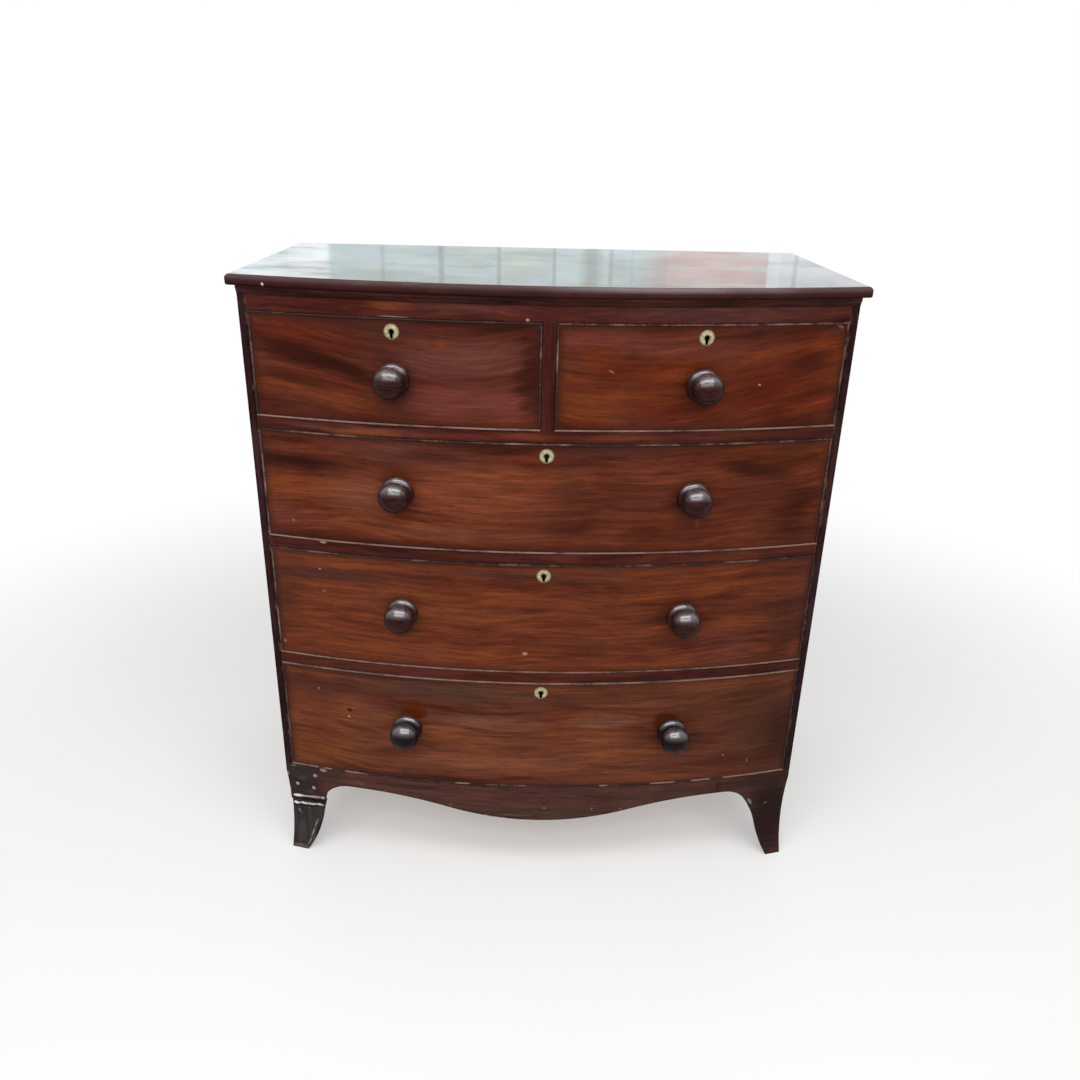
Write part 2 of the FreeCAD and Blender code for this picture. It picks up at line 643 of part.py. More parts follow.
def foot_outline(side):
    """Front view of a front foot: from the arch down its hollow leg to the toe."""
    sign, way = ("", 1) if side == "right" else ("-", -1)
    arch = "size.%s_arch_radius" % side
    drop = "size.%s_knee_drop" % side

    def at(across, up):
        return (sign + "(%s)" % across, up)

    def inward(width):
        return "place.half_carcass - size.%s_%s_width" % (side, width)

    corners = [
        at("place.apron_half", "size.base_height"),
        at("place.apron_half", "place.arch_top"),
        at("%s - %s" % (inward("knee"), arch_run(arch, drop)), "place.arch_top"),
        at(inward("knee"), "place.arch_top - " + drop),
        at(inward("shin"), "size.%s_shin_up" % side),
        at(inward("toe"), "0"),
        at("place.base_outside", "0"),
        at("place.base_outside", "size.base_height"),
    ]
    arcs = {2: (arch, -way),
            3: ("size.%s_upper_radius" % side, -way),
            4: ("size.%s_lower_radius" % side, way)}
    return outline_body("FootFront_" + side, "XZ_Plane", corners, arcs, "2 * place.tool_reach")


def side_leg(name, side, corner, inward):
    """Bracket along the side at a corner; inward is + for the front foot and - for the rear."""
    def at(along, up):
        return ("%s %s (%s)" % (corner, inward, along), up)

    run = arch_run("size.side_arch_radius", "size.side_knee_drop")
    corners = [
        at("-size.base_thickness", "0"), at("size.side_toe_width", "0"),
        at("size.side_knee_width", "place.side_arch_top - size.side_knee_drop"),
        at("size.side_knee_width + " + run, "place.side_arch_top"),
        at("size.side_foot_width", "place.side_arch_top"),
        at("size.side_foot_width", "place.base_under"),
        at("-size.base_thickness", "place.base_under"),
    ]
    way = -1 if inward == "+" else 1
    arcs = {1: ("size.side_leg_radius", way), 2: ("size.side_arch_radius", way)}
    profile = outline_body(name + "_profile", "YZ_Plane", corners, arcs, "2 * place.tool_reach")
    inner = "place.half_carcass - size.base_thickness"
    span = dict(both_sides(inner, "place.base_outside"))[side]
    slab = box(name + "_slab", span, ("-place.tool_reach", "place.tool_reach"),
               ("0", "place.base_under"))
    return common(name, slab, profile)


def make_base():
    """Shaped apron, four bracket feet, side skirts, glue blocks and the mended left foot."""
    envelope = make_base_envelope()
    hollow = bow_drum("BaseHollow", "place.base_inner", ("0", "size.base_height"))
    shell = cut("BaseShell", envelope, hollow)

    half_ogee = "place.apron_half / 2"
    mid_ogee = "(place.arch_top + place.apron_low) / 2"
    rise = "((place.arch_top - place.apron_low) / 2)"
    ogee_radius = "((%s)^2 + %s^2) / (2 * %s)" % (half_ogee, rise, rise)
    apron = outline_body("ApronOutline", "XZ_Plane", [
        ("-place.apron_half", "size.base_height"), ("-place.apron_half", "place.arch_top"),
        ("-" + half_ogee, mid_ogee), ("0", "place.apron_low"), (half_ogee, mid_ogee),
        ("place.apron_half", "place.arch_top"), ("place.apron_half", "size.base_height"),
    ], {1: (ogee_radius, -1), 2: (ogee_radius, 1), 3: (ogee_radius, 1), 4: (ogee_radius, -1)},
        "2 * place.tool_reach")
    node("apron_front", common("ApronFront", shell, apron))

    through = ("-place.tool_reach", "place.tool_reach")
    splice_cut = box("SpliceCut", ("-place.tool_reach", "0"), through,
                     ("-size.overcut", "size.splice_height"))
    for side in ("left", "right"):
        outline = foot_outline(side)
        front_leg = common("FrontLeg_" + side, shell, outline)
        flank = side_leg("FrontFlank_" + side, side, "place.corner_plane", "+")
        trimmed = common("TrimmedFlank_" + side, envelope, flank)
        foot = fuse("FrontFoot_" + side, [front_leg, trimmed])
        if side == "left":
            toe = common("SpliceToe", foot, splice_cut)
            toe.setExpression("Placement.Base.x", "size.splice_set_back")
            node("foot_splice_left", toe)
            foot = cut("SplicedFoot", foot, splice_cut)
        node("foot_front_" + side, foot)

        rear_flank = side_leg("RearFlank_" + side, side, "place.back_plane", "-")
        back_leg = common("BackLeg_" + side, outline, box(
            "BackLegBoard_" + side, through,
            ("place.back_plane - size.base_thickness", "place.back_plane"),
            ("0", "place.base_under")))
        rear = fuse("RearFootRough_" + side, [rear_flank, back_leg])
        rear_end = box("RearEnd_" + side, through, ("0", "place.back_plane"),
                       ("0", "place.base_under"))
        trimmed_rear = common("RearFootTrimmed_" + side, rear, rear_end)
        node("foot_rear_" + side, common("RearFoot_" + side, envelope, trimmed_rear))

    skirt_run = ("place.corner_plane + size.side_foot_width",
                 "place.back_plane - size.side_foot_width")
    skirts = []
    inner = "place.half_carcass - size.base_thickness"
    for side, across in both_sides(inner, "place.half_carcass"):
        board = box("SkirtBoard_" + side, across, skirt_run, ("place.side_arch_top", "place.base_under"))
        skirts.append(common("Skirt_" + side, envelope, board))
    node("side_skirts", group("SideSkirts", skirts))
    make_glue_blocks()
    make_repair_screws()


def make_glue_blocks():
    """Blocks that glue the base together under the carcass bottom."""
    blocks = []
    outer = "place.half_carcass - size.base_thickness"
    inner = outer + " - size.block_width"
    up = ("size.splice_height + size.block_clearance", "place.base_under")
    front = arc_y(outer, "place.base_inner")
    rear = "place.back_plane - size.base_thickness"
    for side, across in both_sides(inner, outer):
        blocks.append(box("FrontBlock_" + side, across, (front, front + " + size.block_width"), up))
        blocks.append(box("RearBlock_" + side, across, (rear + " - size.block_width", rear), up))
    swing = "asin(size.apron_block_offset / place.base_inner)"
    for spot, turn in (("left", "-" + swing), ("middle", "0"), ("right", swing)):
        face = "-place.base_inner + size.fit_gap"
        block = box("ApronBlock_" + spot, ("-size.apron_block_length / 2", "size.apron_block_length / 2"),
                    (face, face + " + size.apron_block_width"),
                    ("place.base_under - size.apron_block_width", "place.base_under"))
        blocks.append(on_bow(group("ApronBlockPlaced_" + spot, [block]), turn))
    node("glue_blocks", group("GlueBlocks", blocks))


def make_repair_screws():
    """Screws that hold the mended left foot; their holes are cut in the foot."""
    screws = []
    holes = []
    for spot in ("first", "second", "third"):
        swing = "-asin((place.half_carcass - size.%s_screw_in) / place.bow_radius)" % spot
        for shape, list_of_pegs in (("Screw", screws), ("ScrewHole", holes)):
            shank = peg("%s_%s_shank" % (shape, spot), "size.screw_radius",
                        "place.bow_radius - size.screw_length", "place.bow_radius + size.screw_proud",
                        "size.base_height - size.%s_screw_down" % spot)
            list_of_pegs.append(on_bow(group("%s_%s" % (shape, spot), [shank]), swing))
    node("foot_repair_screws", group("RepairScrews", screws))
    foot = nodes["foot_front_left"]
    foot.Label = "LeftFootUndrilled"
    node("foot_front_left", cut("DrilledFoot", foot, group("ScrewHoles", holes)))


# ---- drawers ----

def keyhole(name, start, end, up):
    """Keyhole tool: a round hole with a straight slot below it."""
    half = "size.keyway_width / 2"
    bore = peg(name + "_bore", "size.keyhole_radius", start, end, up)
    slot = box(name + "_slot", ("-" + half, half), ("-(%s)" % end, "-(%s)" % start),
               ("%s - size.keyway_length" % up, up))
    return fuse(name, [bore, slot])


def make_knob(name, swing, up):
    """Turned knob: a collar on the face, a groove, a round bun and a tenon into the front."""
    face = "-place.bow_radius"
    tenon_end = "-place.front_inner"
    widest = face + " - place.knob_widest"
    collar_edge = "size.collar_radius - size.collar_swell"
    collar_rounding = ("((size.collar_thickness / 2)^2 + size.collar_swell^2)"
                       " / (2 * size.collar_swell)")
    body = turned_body(name, "XY_Plane", [
        ("0", tenon_end),
        ("size.spigot_radius", tenon_end),
        ("size.spigot_radius", face),
        (collar_edge, face),
        (collar_edge, face + " - size.collar_thickness"),
        ("size.neck_radius", face + " - size.collar_thickness"),
        ("size.neck_radius", widest + " + place.neck_rise"),
        ("place.bun_edge", widest + " + place.bun_rise"),
        ("place.bun_edge", widest + " - place.bun_rise"),
        ("0", face + " - place.knob_reach"),
    ], {3: (collar_rounding, -1), 6: ("place.bun_radius", -1), 7: ("size.rim_radius", -1),
        8: ("place.bun_radius", -1)})
    on_bow(body, swing)
    return bind(body, Placement__Base__z=up)


def make_cockbead(key, title, left, right, low, high):
    """Four beads let into the edges of a drawer front."""
    spans = {
        "top": ((left, right), (high + " - size.bead_width", high)),
        "bottom": ((left, right), (low, low + " + size.bead_width")),
        "left": ((left, left + " + size.bead_width"),
                 (low + " + size.bead_width", high + " - size.bead_width")),
        "right": ((right + " - size.bead_width", right),
                  (low + " + size.bead_width", high + " - size.bead_width")),
    }
    strips = []
    outer = "place.bow_radius + size.bead_proud"
    for spot, (across, up) in spans.items():
        strip = bow_body("%sBead_%s" % (title, spot), across, outer, "place.bead_seat", up)
        doc.recompute()
        pad = strip.Tip
        reach = worked(outer)
        edges = []
        for index, edge in enumerate(pad.Shape.Edges, start=1):
            ends = [vertex.Point for vertex in edge.Vertexes]
            at_front = all(abs(math.hypot(point.x, point.y) - reach) < SAME_PLACE for point in ends)
            along_x = abs(ends[0].z - ends[-1].z) < SAME_PLACE
            if at_front and along_x == (spot in ("top", "bottom")):
                edges.append("Edge%d" % index)
        rounding = strip.newObject("PartDesign::Fillet", "%sBeadRounding_%s" % (title, spot))
        rounding.Base = (pad, edges)
        rounding.setExpression("Radius", "size.bead_rounding")
        strips.append(strip)
    node("drawer_%s_cockbead" % key, group(title + "Cockbead", strips))


def make_drawer(key, title, left, right, level, height, swing, knob_swings, knob_up):
    """One drawer: bowed front, dovetailed box, cockbead, knobs, escutcheon and lock."""
    low = "(place.%s_level + size.drawer_gap)" % level
    high = "(%s + %s)" % (low, height)
    key_up = high + " - size.keyhole_drop"

    core = bow_body(title + "Core", (left, right), "place.bead_seat", "place.front_inner", (low, high))
    face = bow_body(title + "Face", (left + " + size.bead_width", right + " - size.bead_width"),
                    "place.bow_radius", "place.bead_seat",
                    (low + " + size.bead_width", high + " - size.bead_width"))
    blank = fuse(title + "Blank", [core, face])

    # Drawer bottom, cut to the bow, let into the front and sides.
    panel = bow_body(title + "BottomPanel",
                     (left + " + size.box_side_thickness - size.groove_depth",
                      right + " - size.box_side_thickness + size.groove_depth"),
                     "place.front_inner + size.groove_depth", "place.box_rear",
                     (low + " + size.box_bottom_rise",
                      low + " + size.box_bottom_rise + size.box_bottom_thickness"), flat=True)

    # Dovetails: wide at the lap, narrow at the shoulder.
    side_low = "place.%s_level + size.running_gap" % level
    side_high = high + " - size.box_side_drop"
    tails = "size.%s_tails" % level
    pitch = "((%s - (%s)) / %s)" % (side_high, side_low, tails)
    sides = []
    all_tails = []
    for side, (inner, outer) in {"left": (left, left + " + size.box_side_thickness"),
                                 "right": (right + " - size.box_side_thickness", right)}.items():
        lap_y = "(%s + size.lap)" % arc_y(inner if side == "left" else outer, "place.bead_seat")
        shoulders = (arc_y(inner, "place.front_inner"), arc_y(outer, "place.front_inner"))
        shoulder = "(max(%s; %s) + size.overcut)" % shoulders
        blank_parts = [box("%sSideBoard_%s" % (title, side), (inner, outer),
                           ("min(%s; %s)" % shoulders, "place.box_rear"), (side_low, side_high))]
        for number in range(int(worked(tails))):
            tail = doc.addObject("Part::Wedge", "%sTail_%s_%d" % (title, side, number))
            middle = "(%s + %s * %.1f)" % (side_low, pitch, number + 0.5)
            bind(tail, Xmin=inner, Xmax=outer, X2min=inner, X2max=outer, Ymin=lap_y, Ymax=shoulder,
                 Zmin=middle + " - size.tail_width / 2", Zmax=middle + " + size.tail_width / 2",
                 Z2min=middle + " - size.tail_neck / 2", Z2max=middle + " + size.tail_neck / 2")
            all_tails.append(tail)
            blank_parts.append(tail)
        sides.append(fuse("%sSideBlank_%s" % (title, side), blank_parts))
    tail_set = group(title + "Tails", all_tails)
    socketed = cut(title + "Socketed", blank, tail_set)

    # Hardware pockets, swung to where the lock and the knobs sit.
    lock_half = "size.lock_width / 2"
    pocket = box(title + "LockPocket", ("-" + lock_half, lock_half),
                 ("-place.lock_seat", "-place.lock_back + size.overcut"),
                 (high + " - size.lock_height", high + " + size.overcut"))
    seat = peg(title + "EscutcheonSeat", "size.escutcheon_radius",
               "place.bow_radius - size.escutcheon_sink", "place.bow_radius + size.overcut", key_up)
    hole = keyhole(title + "Keyhole", "place.lock_seat - size.overcut",
                   "place.bow_radius + size.overcut", key_up)
    pockets = on_bow(group(title + "Pockets", [fuse(title + "PocketTools", [pocket, seat, hole])]), swing)
    bores = []
    for number, knob_swing in enumerate(knob_swings):
        bore = peg("%sKnobBore_%d" % (title, number), "size.spigot_radius + size.spigot_gap",
                   "place.front_inner - size.overcut", "place.bow_radius + size.overcut", knob_up)
        bores.append(on_bow(group("%sKnobBorePlaced_%d" % (title, number), [bore]), knob_swing))
    drilled = cut(title + "Drilled", cut(title + "Pocketed", socketed, pockets),
                  group(title + "Bores", bores))
    front = node("drawer_%s_front" % key, cut(title + "Front", drilled, panel))

    box_pieces = []
    for side, blank_side in zip(("left", "right"), sides):
        fitted = cut("%sSideFitted_%s" % (title, side), blank_side, front)
        grooved = cut("%sSideGrooved_%s" % (title, side), fitted, panel)
        box_pieces.append(grooved)
    box_pieces.append(box(title + "Back", (left + " + size.box_side_thickness",
                                           right + " - size.box_side_thickness"),
                          ("place.box_rear - size.box_side_thickness", "place.box_rear"),
                          (low + " + size.box_bottom_rise + size.box_bottom_thickness",
                           high + " - size.box_back_drop")))
    node("drawer_%s_box" % key, group(title + "Box", box_pieces + [panel]))

    make_cockbead(key, title, left, right, low, high)

    knobs = [make_knob("%sKnob_%d" % (title, number), knob_swing, knob_up)
             for number, knob_swing in enumerate(knob_swings)]
    knob_node = knobs[0] if len(knobs) == 1 else group(title + "Knobs", knobs)
    node("drawer_%s_knob%s" % (key, "" if len(knobs) == 1 else "s"), knob_node)

    disc = peg(title + "EscutcheonDisc", "size.escutcheon_radius",
               "place.bow_radius - size.escutcheon_sink", "place.bow_radius + size.escutcheon_proud",
               key_up)
    pierced = cut(title + "EscutcheonPierced", disc,
                  keyhole(title + "EscutcheonKeyhole", "place.bow_radius - 2 * size.escutcheon_sink",
                          "place.bow_radius + size.overcut", key_up))
    node("drawer_%s_escutcheon" % key, on_bow(group(title + "Escutcheon", [pierced]), swing))
    make_lock(key, title, swing, high, key_up)


def make_lock(key, title, swing, high, key_up):
    """Lock case let into the back of the front, and its bolt in a slot of the case."""
    half = "size.lock_width / 2"
    case = box(title + "LockCase", ("-" + half, half), ("-place.lock_seat", "-place.lock_back"),
               (high + " - size.lock_height", high))
    gap_half = "size.bolt_width / 2 + size.bolt_gap"
    gap_thick = "(size.bolt_thickness / 2 + size.bolt_gap)"
    foot = high + " - size.bolt_sink - size.bolt_length"
    slot = box(title + "BoltSlot", ("-(%s)" % gap_half, gap_half),
               ("-place.bolt_ring - " + gap_thick, "-place.bolt_ring + " + gap_thick),
               (foot + " - size.bolt_gap", high + " + size.overcut"))
    hole = keyhole(title + "LockKeyhole", "place.bolt_ring", "place.bow_radius", key_up)
    cored = cut(title + "LockCored", case, fuse(title + "LockVoids", [slot, hole]))
    node("drawer_%s_lock" % key, on_bow(group(title + "Lock", [cored]), swing))
    bolt = box(title + "BoltBlade", ("-size.bolt_width / 2", "size.bolt_width / 2"),
               ("-place.bolt_ring - size.bolt_thickness / 2",
                "-place.bolt_ring + size.bolt_thickness / 2"), (foot, high + " - size.bolt_sink"))
    node("drawer_%s_bolt" % key, on_bow(group(title + "Bolt", [bolt]), swing))


def make_drawers():
    """Two short drawers side by side and three long ones below."""
    outer = "(place.half_opening - size.drawer_gap)"
    inner = "(place.half_divider + size.drawer_gap)"
    swing = "place.knob_swing"
    short_up = ("(place.short_level + size.drawer_gap + size.short_drawer_height / 2"
                " - size.short_knob_drop)")
    make_drawer("top_left", "TopLeft", "-" + outer, "-" + inner, "short", "size.short_drawer_height",
                "-" + swing, ["-" + swing], short_up)
    make_drawer("top_right", "TopRight", inner, outer, "short", "size.short_drawer_height",
                swing, [swing], short_up)
    for key in ("second", "third", "bottom"):
        height = "size.%s_drawer_height" % key
        up = "(place.%s_level + size.drawer_gap + %s / 2 + size.long_knob_lift)" % (key, height)
        make_drawer(key, key.capitalize(), "-" + outer, outer, key, height, "0",
                    ["-" + swing, swing], up)


make_top()
make_rails()
make_sides(make_backboards())
make_inside()
make_stops()
make_base()
make_drawers()
doc.recompute()

# ---- check and write ----

for piece in doc.Objects:
    for state in ("Invalid", "Error"):
        if state in piece.State:
            raise RuntimeError("%s (%s) did not build" % (piece.Name, piece.Label))
os.makedirs("parts", exist_ok=True)
for name, piece in nodes.items():
    shape = piece.Shape
    if shape.isNull() or not shape.isValid() or not shape.Solids:
        raise RuntimeError("%s has no sound shape" % name)
for name, piece in nodes.items():
    piece.Shape.exportStep("parts/%s.step" % name)
print("wrote %d sub-parts" % len(nodes))
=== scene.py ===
from functools import partial
import math
import bmesh
import bpy
from mathutils import Matrix, Vector


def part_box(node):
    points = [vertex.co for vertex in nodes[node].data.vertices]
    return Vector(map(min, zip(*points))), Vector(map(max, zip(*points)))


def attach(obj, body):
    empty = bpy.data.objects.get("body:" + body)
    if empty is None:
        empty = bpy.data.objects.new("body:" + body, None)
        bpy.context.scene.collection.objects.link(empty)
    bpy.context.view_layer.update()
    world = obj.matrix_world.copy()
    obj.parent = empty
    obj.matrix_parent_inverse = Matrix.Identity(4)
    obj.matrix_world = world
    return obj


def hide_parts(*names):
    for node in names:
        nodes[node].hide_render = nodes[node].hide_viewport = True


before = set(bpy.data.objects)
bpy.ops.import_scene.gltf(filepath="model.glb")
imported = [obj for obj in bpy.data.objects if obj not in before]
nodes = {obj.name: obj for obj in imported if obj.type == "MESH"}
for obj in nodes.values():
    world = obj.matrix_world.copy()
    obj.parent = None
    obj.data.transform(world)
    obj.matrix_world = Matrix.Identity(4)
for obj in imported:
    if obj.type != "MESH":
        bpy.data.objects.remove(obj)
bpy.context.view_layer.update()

drawerKeys = ("top_left", "top_right", "second", "third", "bottom")

# The front of the chest is one arc in plan, in metres; pieces are placed along it
bow = {"halfWidth": 0.492, "rise": 0.066, "face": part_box("drawer_bottom_front")[0].y}
bow["radius"] = (bow["halfWidth"] ** 2 + bow["rise"] ** 2) / (2 * bow["rise"])
bow["centreY"] = bow["face"] + bow["radius"]


def linearColor(code):
    # sRGB hex to the linear values that shaders work in
    channels = [int(code[i:i + 2], 16) / 255 for i in (1, 3, 5)]
    linear = [c / 12.92 if c <= 0.04045 else ((c + 0.055) / 1.055) ** 2.4 for c in channels]
    return (*linear, 1.0)


def setInputs(node, inputs):
    # Inputs by name, or in order, as a Map Range's value, from low, from high, to low and to high.
    # Each is a value, a hex tone, a socket, or a node that stands for its first output.
    live = [socket for socket in node.inputs if socket.enabled]
    for key, value in inputs.items() if isinstance(inputs, dict) else enumerate(inputs):
        socket = live[key] if isinstance(key, int) else node.inputs[key]
        if isinstance(value, str):
            value = linearColor(value)
        if isinstance(value, bpy.types.Node):
            value = next(output for output in value.outputs if output.enabled)
        if isinstance(value, bpy.types.NodeSocket):
            node.id_data.links.new(value, socket)
        else:
            socket.default_value = value


def addNode(tree, kind, inputs=(), **settings):
    node = tree.nodes.new("ShaderNode" + kind)
    for key, value in settings.items():
        setattr(node, key, value)
    setInputs(node, inputs)
    return node


def startMaterial(name):
    # The material, its way to add a node, its shader and the place on the object
    material = bpy.data.materials.new(name)
    material.use_nodes = True
    material.node_tree.nodes.clear()
    add = partial(addNode, material.node_tree)
    shader = add("BsdfPrincipled")
    add("OutputMaterial", {"Surface": shader})
    return material, add, shader, add("TexCoord").outputs["Object"]


def stretchedNoise(add, place, scale, detail, roughness=0.5, whole=1.0, start=(0.0, 0.0, 0.0)):
    drawnOut = add("Mapping", {"Vector": place, "Location": start, "Scale": scale})
    return add("TexNoise", (drawnOut, whole, detail, roughness))


def layTone(add, color, tone, pattern, low, high, most=1.0, **settings):
    # Lays a tone over a colour, from none where the pattern is low to the most where it is high
    mask = add("MapRange", (pattern, low, high, 0.0, most), **settings)
    return add("Mix", (mask, color, tone), data_type="RGBA")


def awayFrom(add, value, middle):
    # How far a value lies from the middle, to either side
    shifted = add("Math", (value, middle), operation="SUBTRACT")
    return add("Math", (shifted,), operation="ABSOLUTE")


def setStops(ramp, *stops):
    # (position, tone) along a colour ramp
    elements = ramp.color_ramp.elements
    for element, (position, tone) in zip(elements, (stops[0], stops[-1])):
        element.position, element.color = position, linearColor(tone)
    for position, tone in stops[1:-1]:
        elements.new(position).color = linearColor(tone)


def pointOnBow(across, up, out=0.0):
    # Place and turn of something that sits square on the bowed face, from millimetres
    turn = math.asin(across / 1000 / bow["radius"])
    reach = bow["radius"] + out / 1000
    at = Vector((reach * math.sin(turn), bow["centreY"] - reach * math.cos(turn), up / 1000))
    return Matrix.Translation(at) @ Matrix.Rotation(turn, 4, "Z")


# Which object axes run along the grain and across it
grainAxes = {"x on z": (0, 2), "x on y": (0, 1), "z on y": (2, 1), "z on x": (2, 0),
             "y on x": (1, 0), "y on z": (1, 2)}

# Tones that come up again and again on the polished wood
tones = {
    "deep": "#270d07", "brown": "#452519", "orange": "#703719", "red": "#561b0c",
    "haze": "#5a322b", "rose": "#6b3530", "smoke": "#41241f", "pale": "#a8968a",
    # The near black for keyholes is laid on the wood behind each hole, as painted shade inside it
    "chip": "#a87c72", "bore": "#060303", "dirt": "#24140f", "edgeShadeTone": "#0b0505",
}

# Mahogany, cut, stained and French polished: shellac leaves a low warm gloss over soft long
# streaks, short dark pores and a cloudy film of old wax.  Sizes are in millimetres, as (length,
# width) of a mark; the pores are drawn three times as coarse as real ones, or they wouldn't show.
mahogany = {
    "deep": "#38150d", "ground": "#572718", "light": "#6e361c", "film": "#593029",
    "raw": "#7c5540", "figure": (300, 44), "ribbon": (95, 12), "fleck": (38, 4.0),
    "line": (40, 2.2), "pore": (12, 1.0), "filmAmount": 0.35, "contrast": 1.0, "wander": 12,
    "wanderLength": 260, "roughness": 0.30, "gloss": 0.12, "glossTint": "#c9a595", "coat": 0.0,
    "coatRoughness": 0.08, "wear": 0.25, "wearTone": "#8c6a58", "edge": 1.0, "edgeReach": 2.0,
    # edgeDark: how far the wood near an edge is laid near black, as painted shade
    "edgeDark": 0.0, "dulling": 0.17, "patchSpread": 22, "nickSpread": 3, "dirt": 0.0,
    "middle": 0.49, "toneSpan": 0.115, "ribbonShare": 0.38, "fleckShare": 0.22,
    # Where a pattern starts and ends on its own scale, and the shades that marks give there
    "filmSpan": (0.45, 0.65), "patchSpan": (1.45, 0.25), "nickSpan": (1.15, 0.75),
    "lineSpan": (0.3, 0.7, 0.83, 1.17), "fleckSpan": (0.35, 0.63, 0.86, 1.14),
    "poreSpan": (0.28, 0.42, 0.70, 1.0), "dirtSpan": (0.006, -0.012),
    "edgeShadeSpan": (0.998, 0.94), "wearSpan": (0.985, 0.80), "rubbedSpan": (0.50, 0.66),
}


def grainMarks(add, space, size, detail, roughness=0.5):
    # Noise drawn out along the grain, with marks of about the given size in millimetres
    return stretchedNoise(add, space, (500 / size[0], 500 / size[1], 1.0), detail, roughness)


def followFlow(add, run, rise, flow, start, end):
    # Lifts the grain by flow, in mm at even steps from start to end
    bend = add("FloatCurve", {"Value": add("MapRange", (run, start, end))})
    points = bend.mapping.curves[0].points
    reach = max(abs(value) for value in flow)
    heights = [0.5 + 0.5 * value / reach for value in flow]
    points[0].location = (0.0, heights[0])
    points[1].location = (1.0, heights[-1])
    for i in range(1, len(flow) - 1):
        points.new(i / (len(flow) - 1), heights[i])
    bend.mapping.update()
    lift = add("MapRange", (bend, 0.0, 1.0, reach / 1000, -reach / 1000))
    return add("Math", (rise, lift), operation="ADD")


def layMarks(add, color, space, run, rise, marks, spread, span):
    # Marks keep their place but take ragged edges from the grain, which pushes them by up to half
    # of spread, in mm along and across
    ragged = stretchedNoise(add, space, (8.0, 75.0, 1.0), 3.0, 0.55).outputs["Color"]
    push = [part / 1000 for part in (*spread, 0.0)]
    pushed = add("VectorMath", (ragged, push, add("CombineXYZ", (run, rise))),
                 operation="MULTIPLY_ADD")
    loose = add("VectorMath", (pushed, [part / 2 for part in push]), operation="SUBTRACT")
    for x, z, halfLength, halfWidth, tilt, tone, strength in marks:
        local = add("Mapping", {
            "Vector": loose, "Location": (x / 1000, z / 1000, 0.0),
            "Rotation": (0.0, 0.0, math.radians(tilt)),
            "Scale": (halfLength / 1000, halfWidth / 1000, 1.0)}, vector_type="TEXTURE")
        reach = add("VectorMath", (local,), operation="LENGTH")
        color = layTone(add, color, tones.get(tone, tone), reach, *span, strength,
                        interpolation_type="SMOOTHSTEP")
    return color


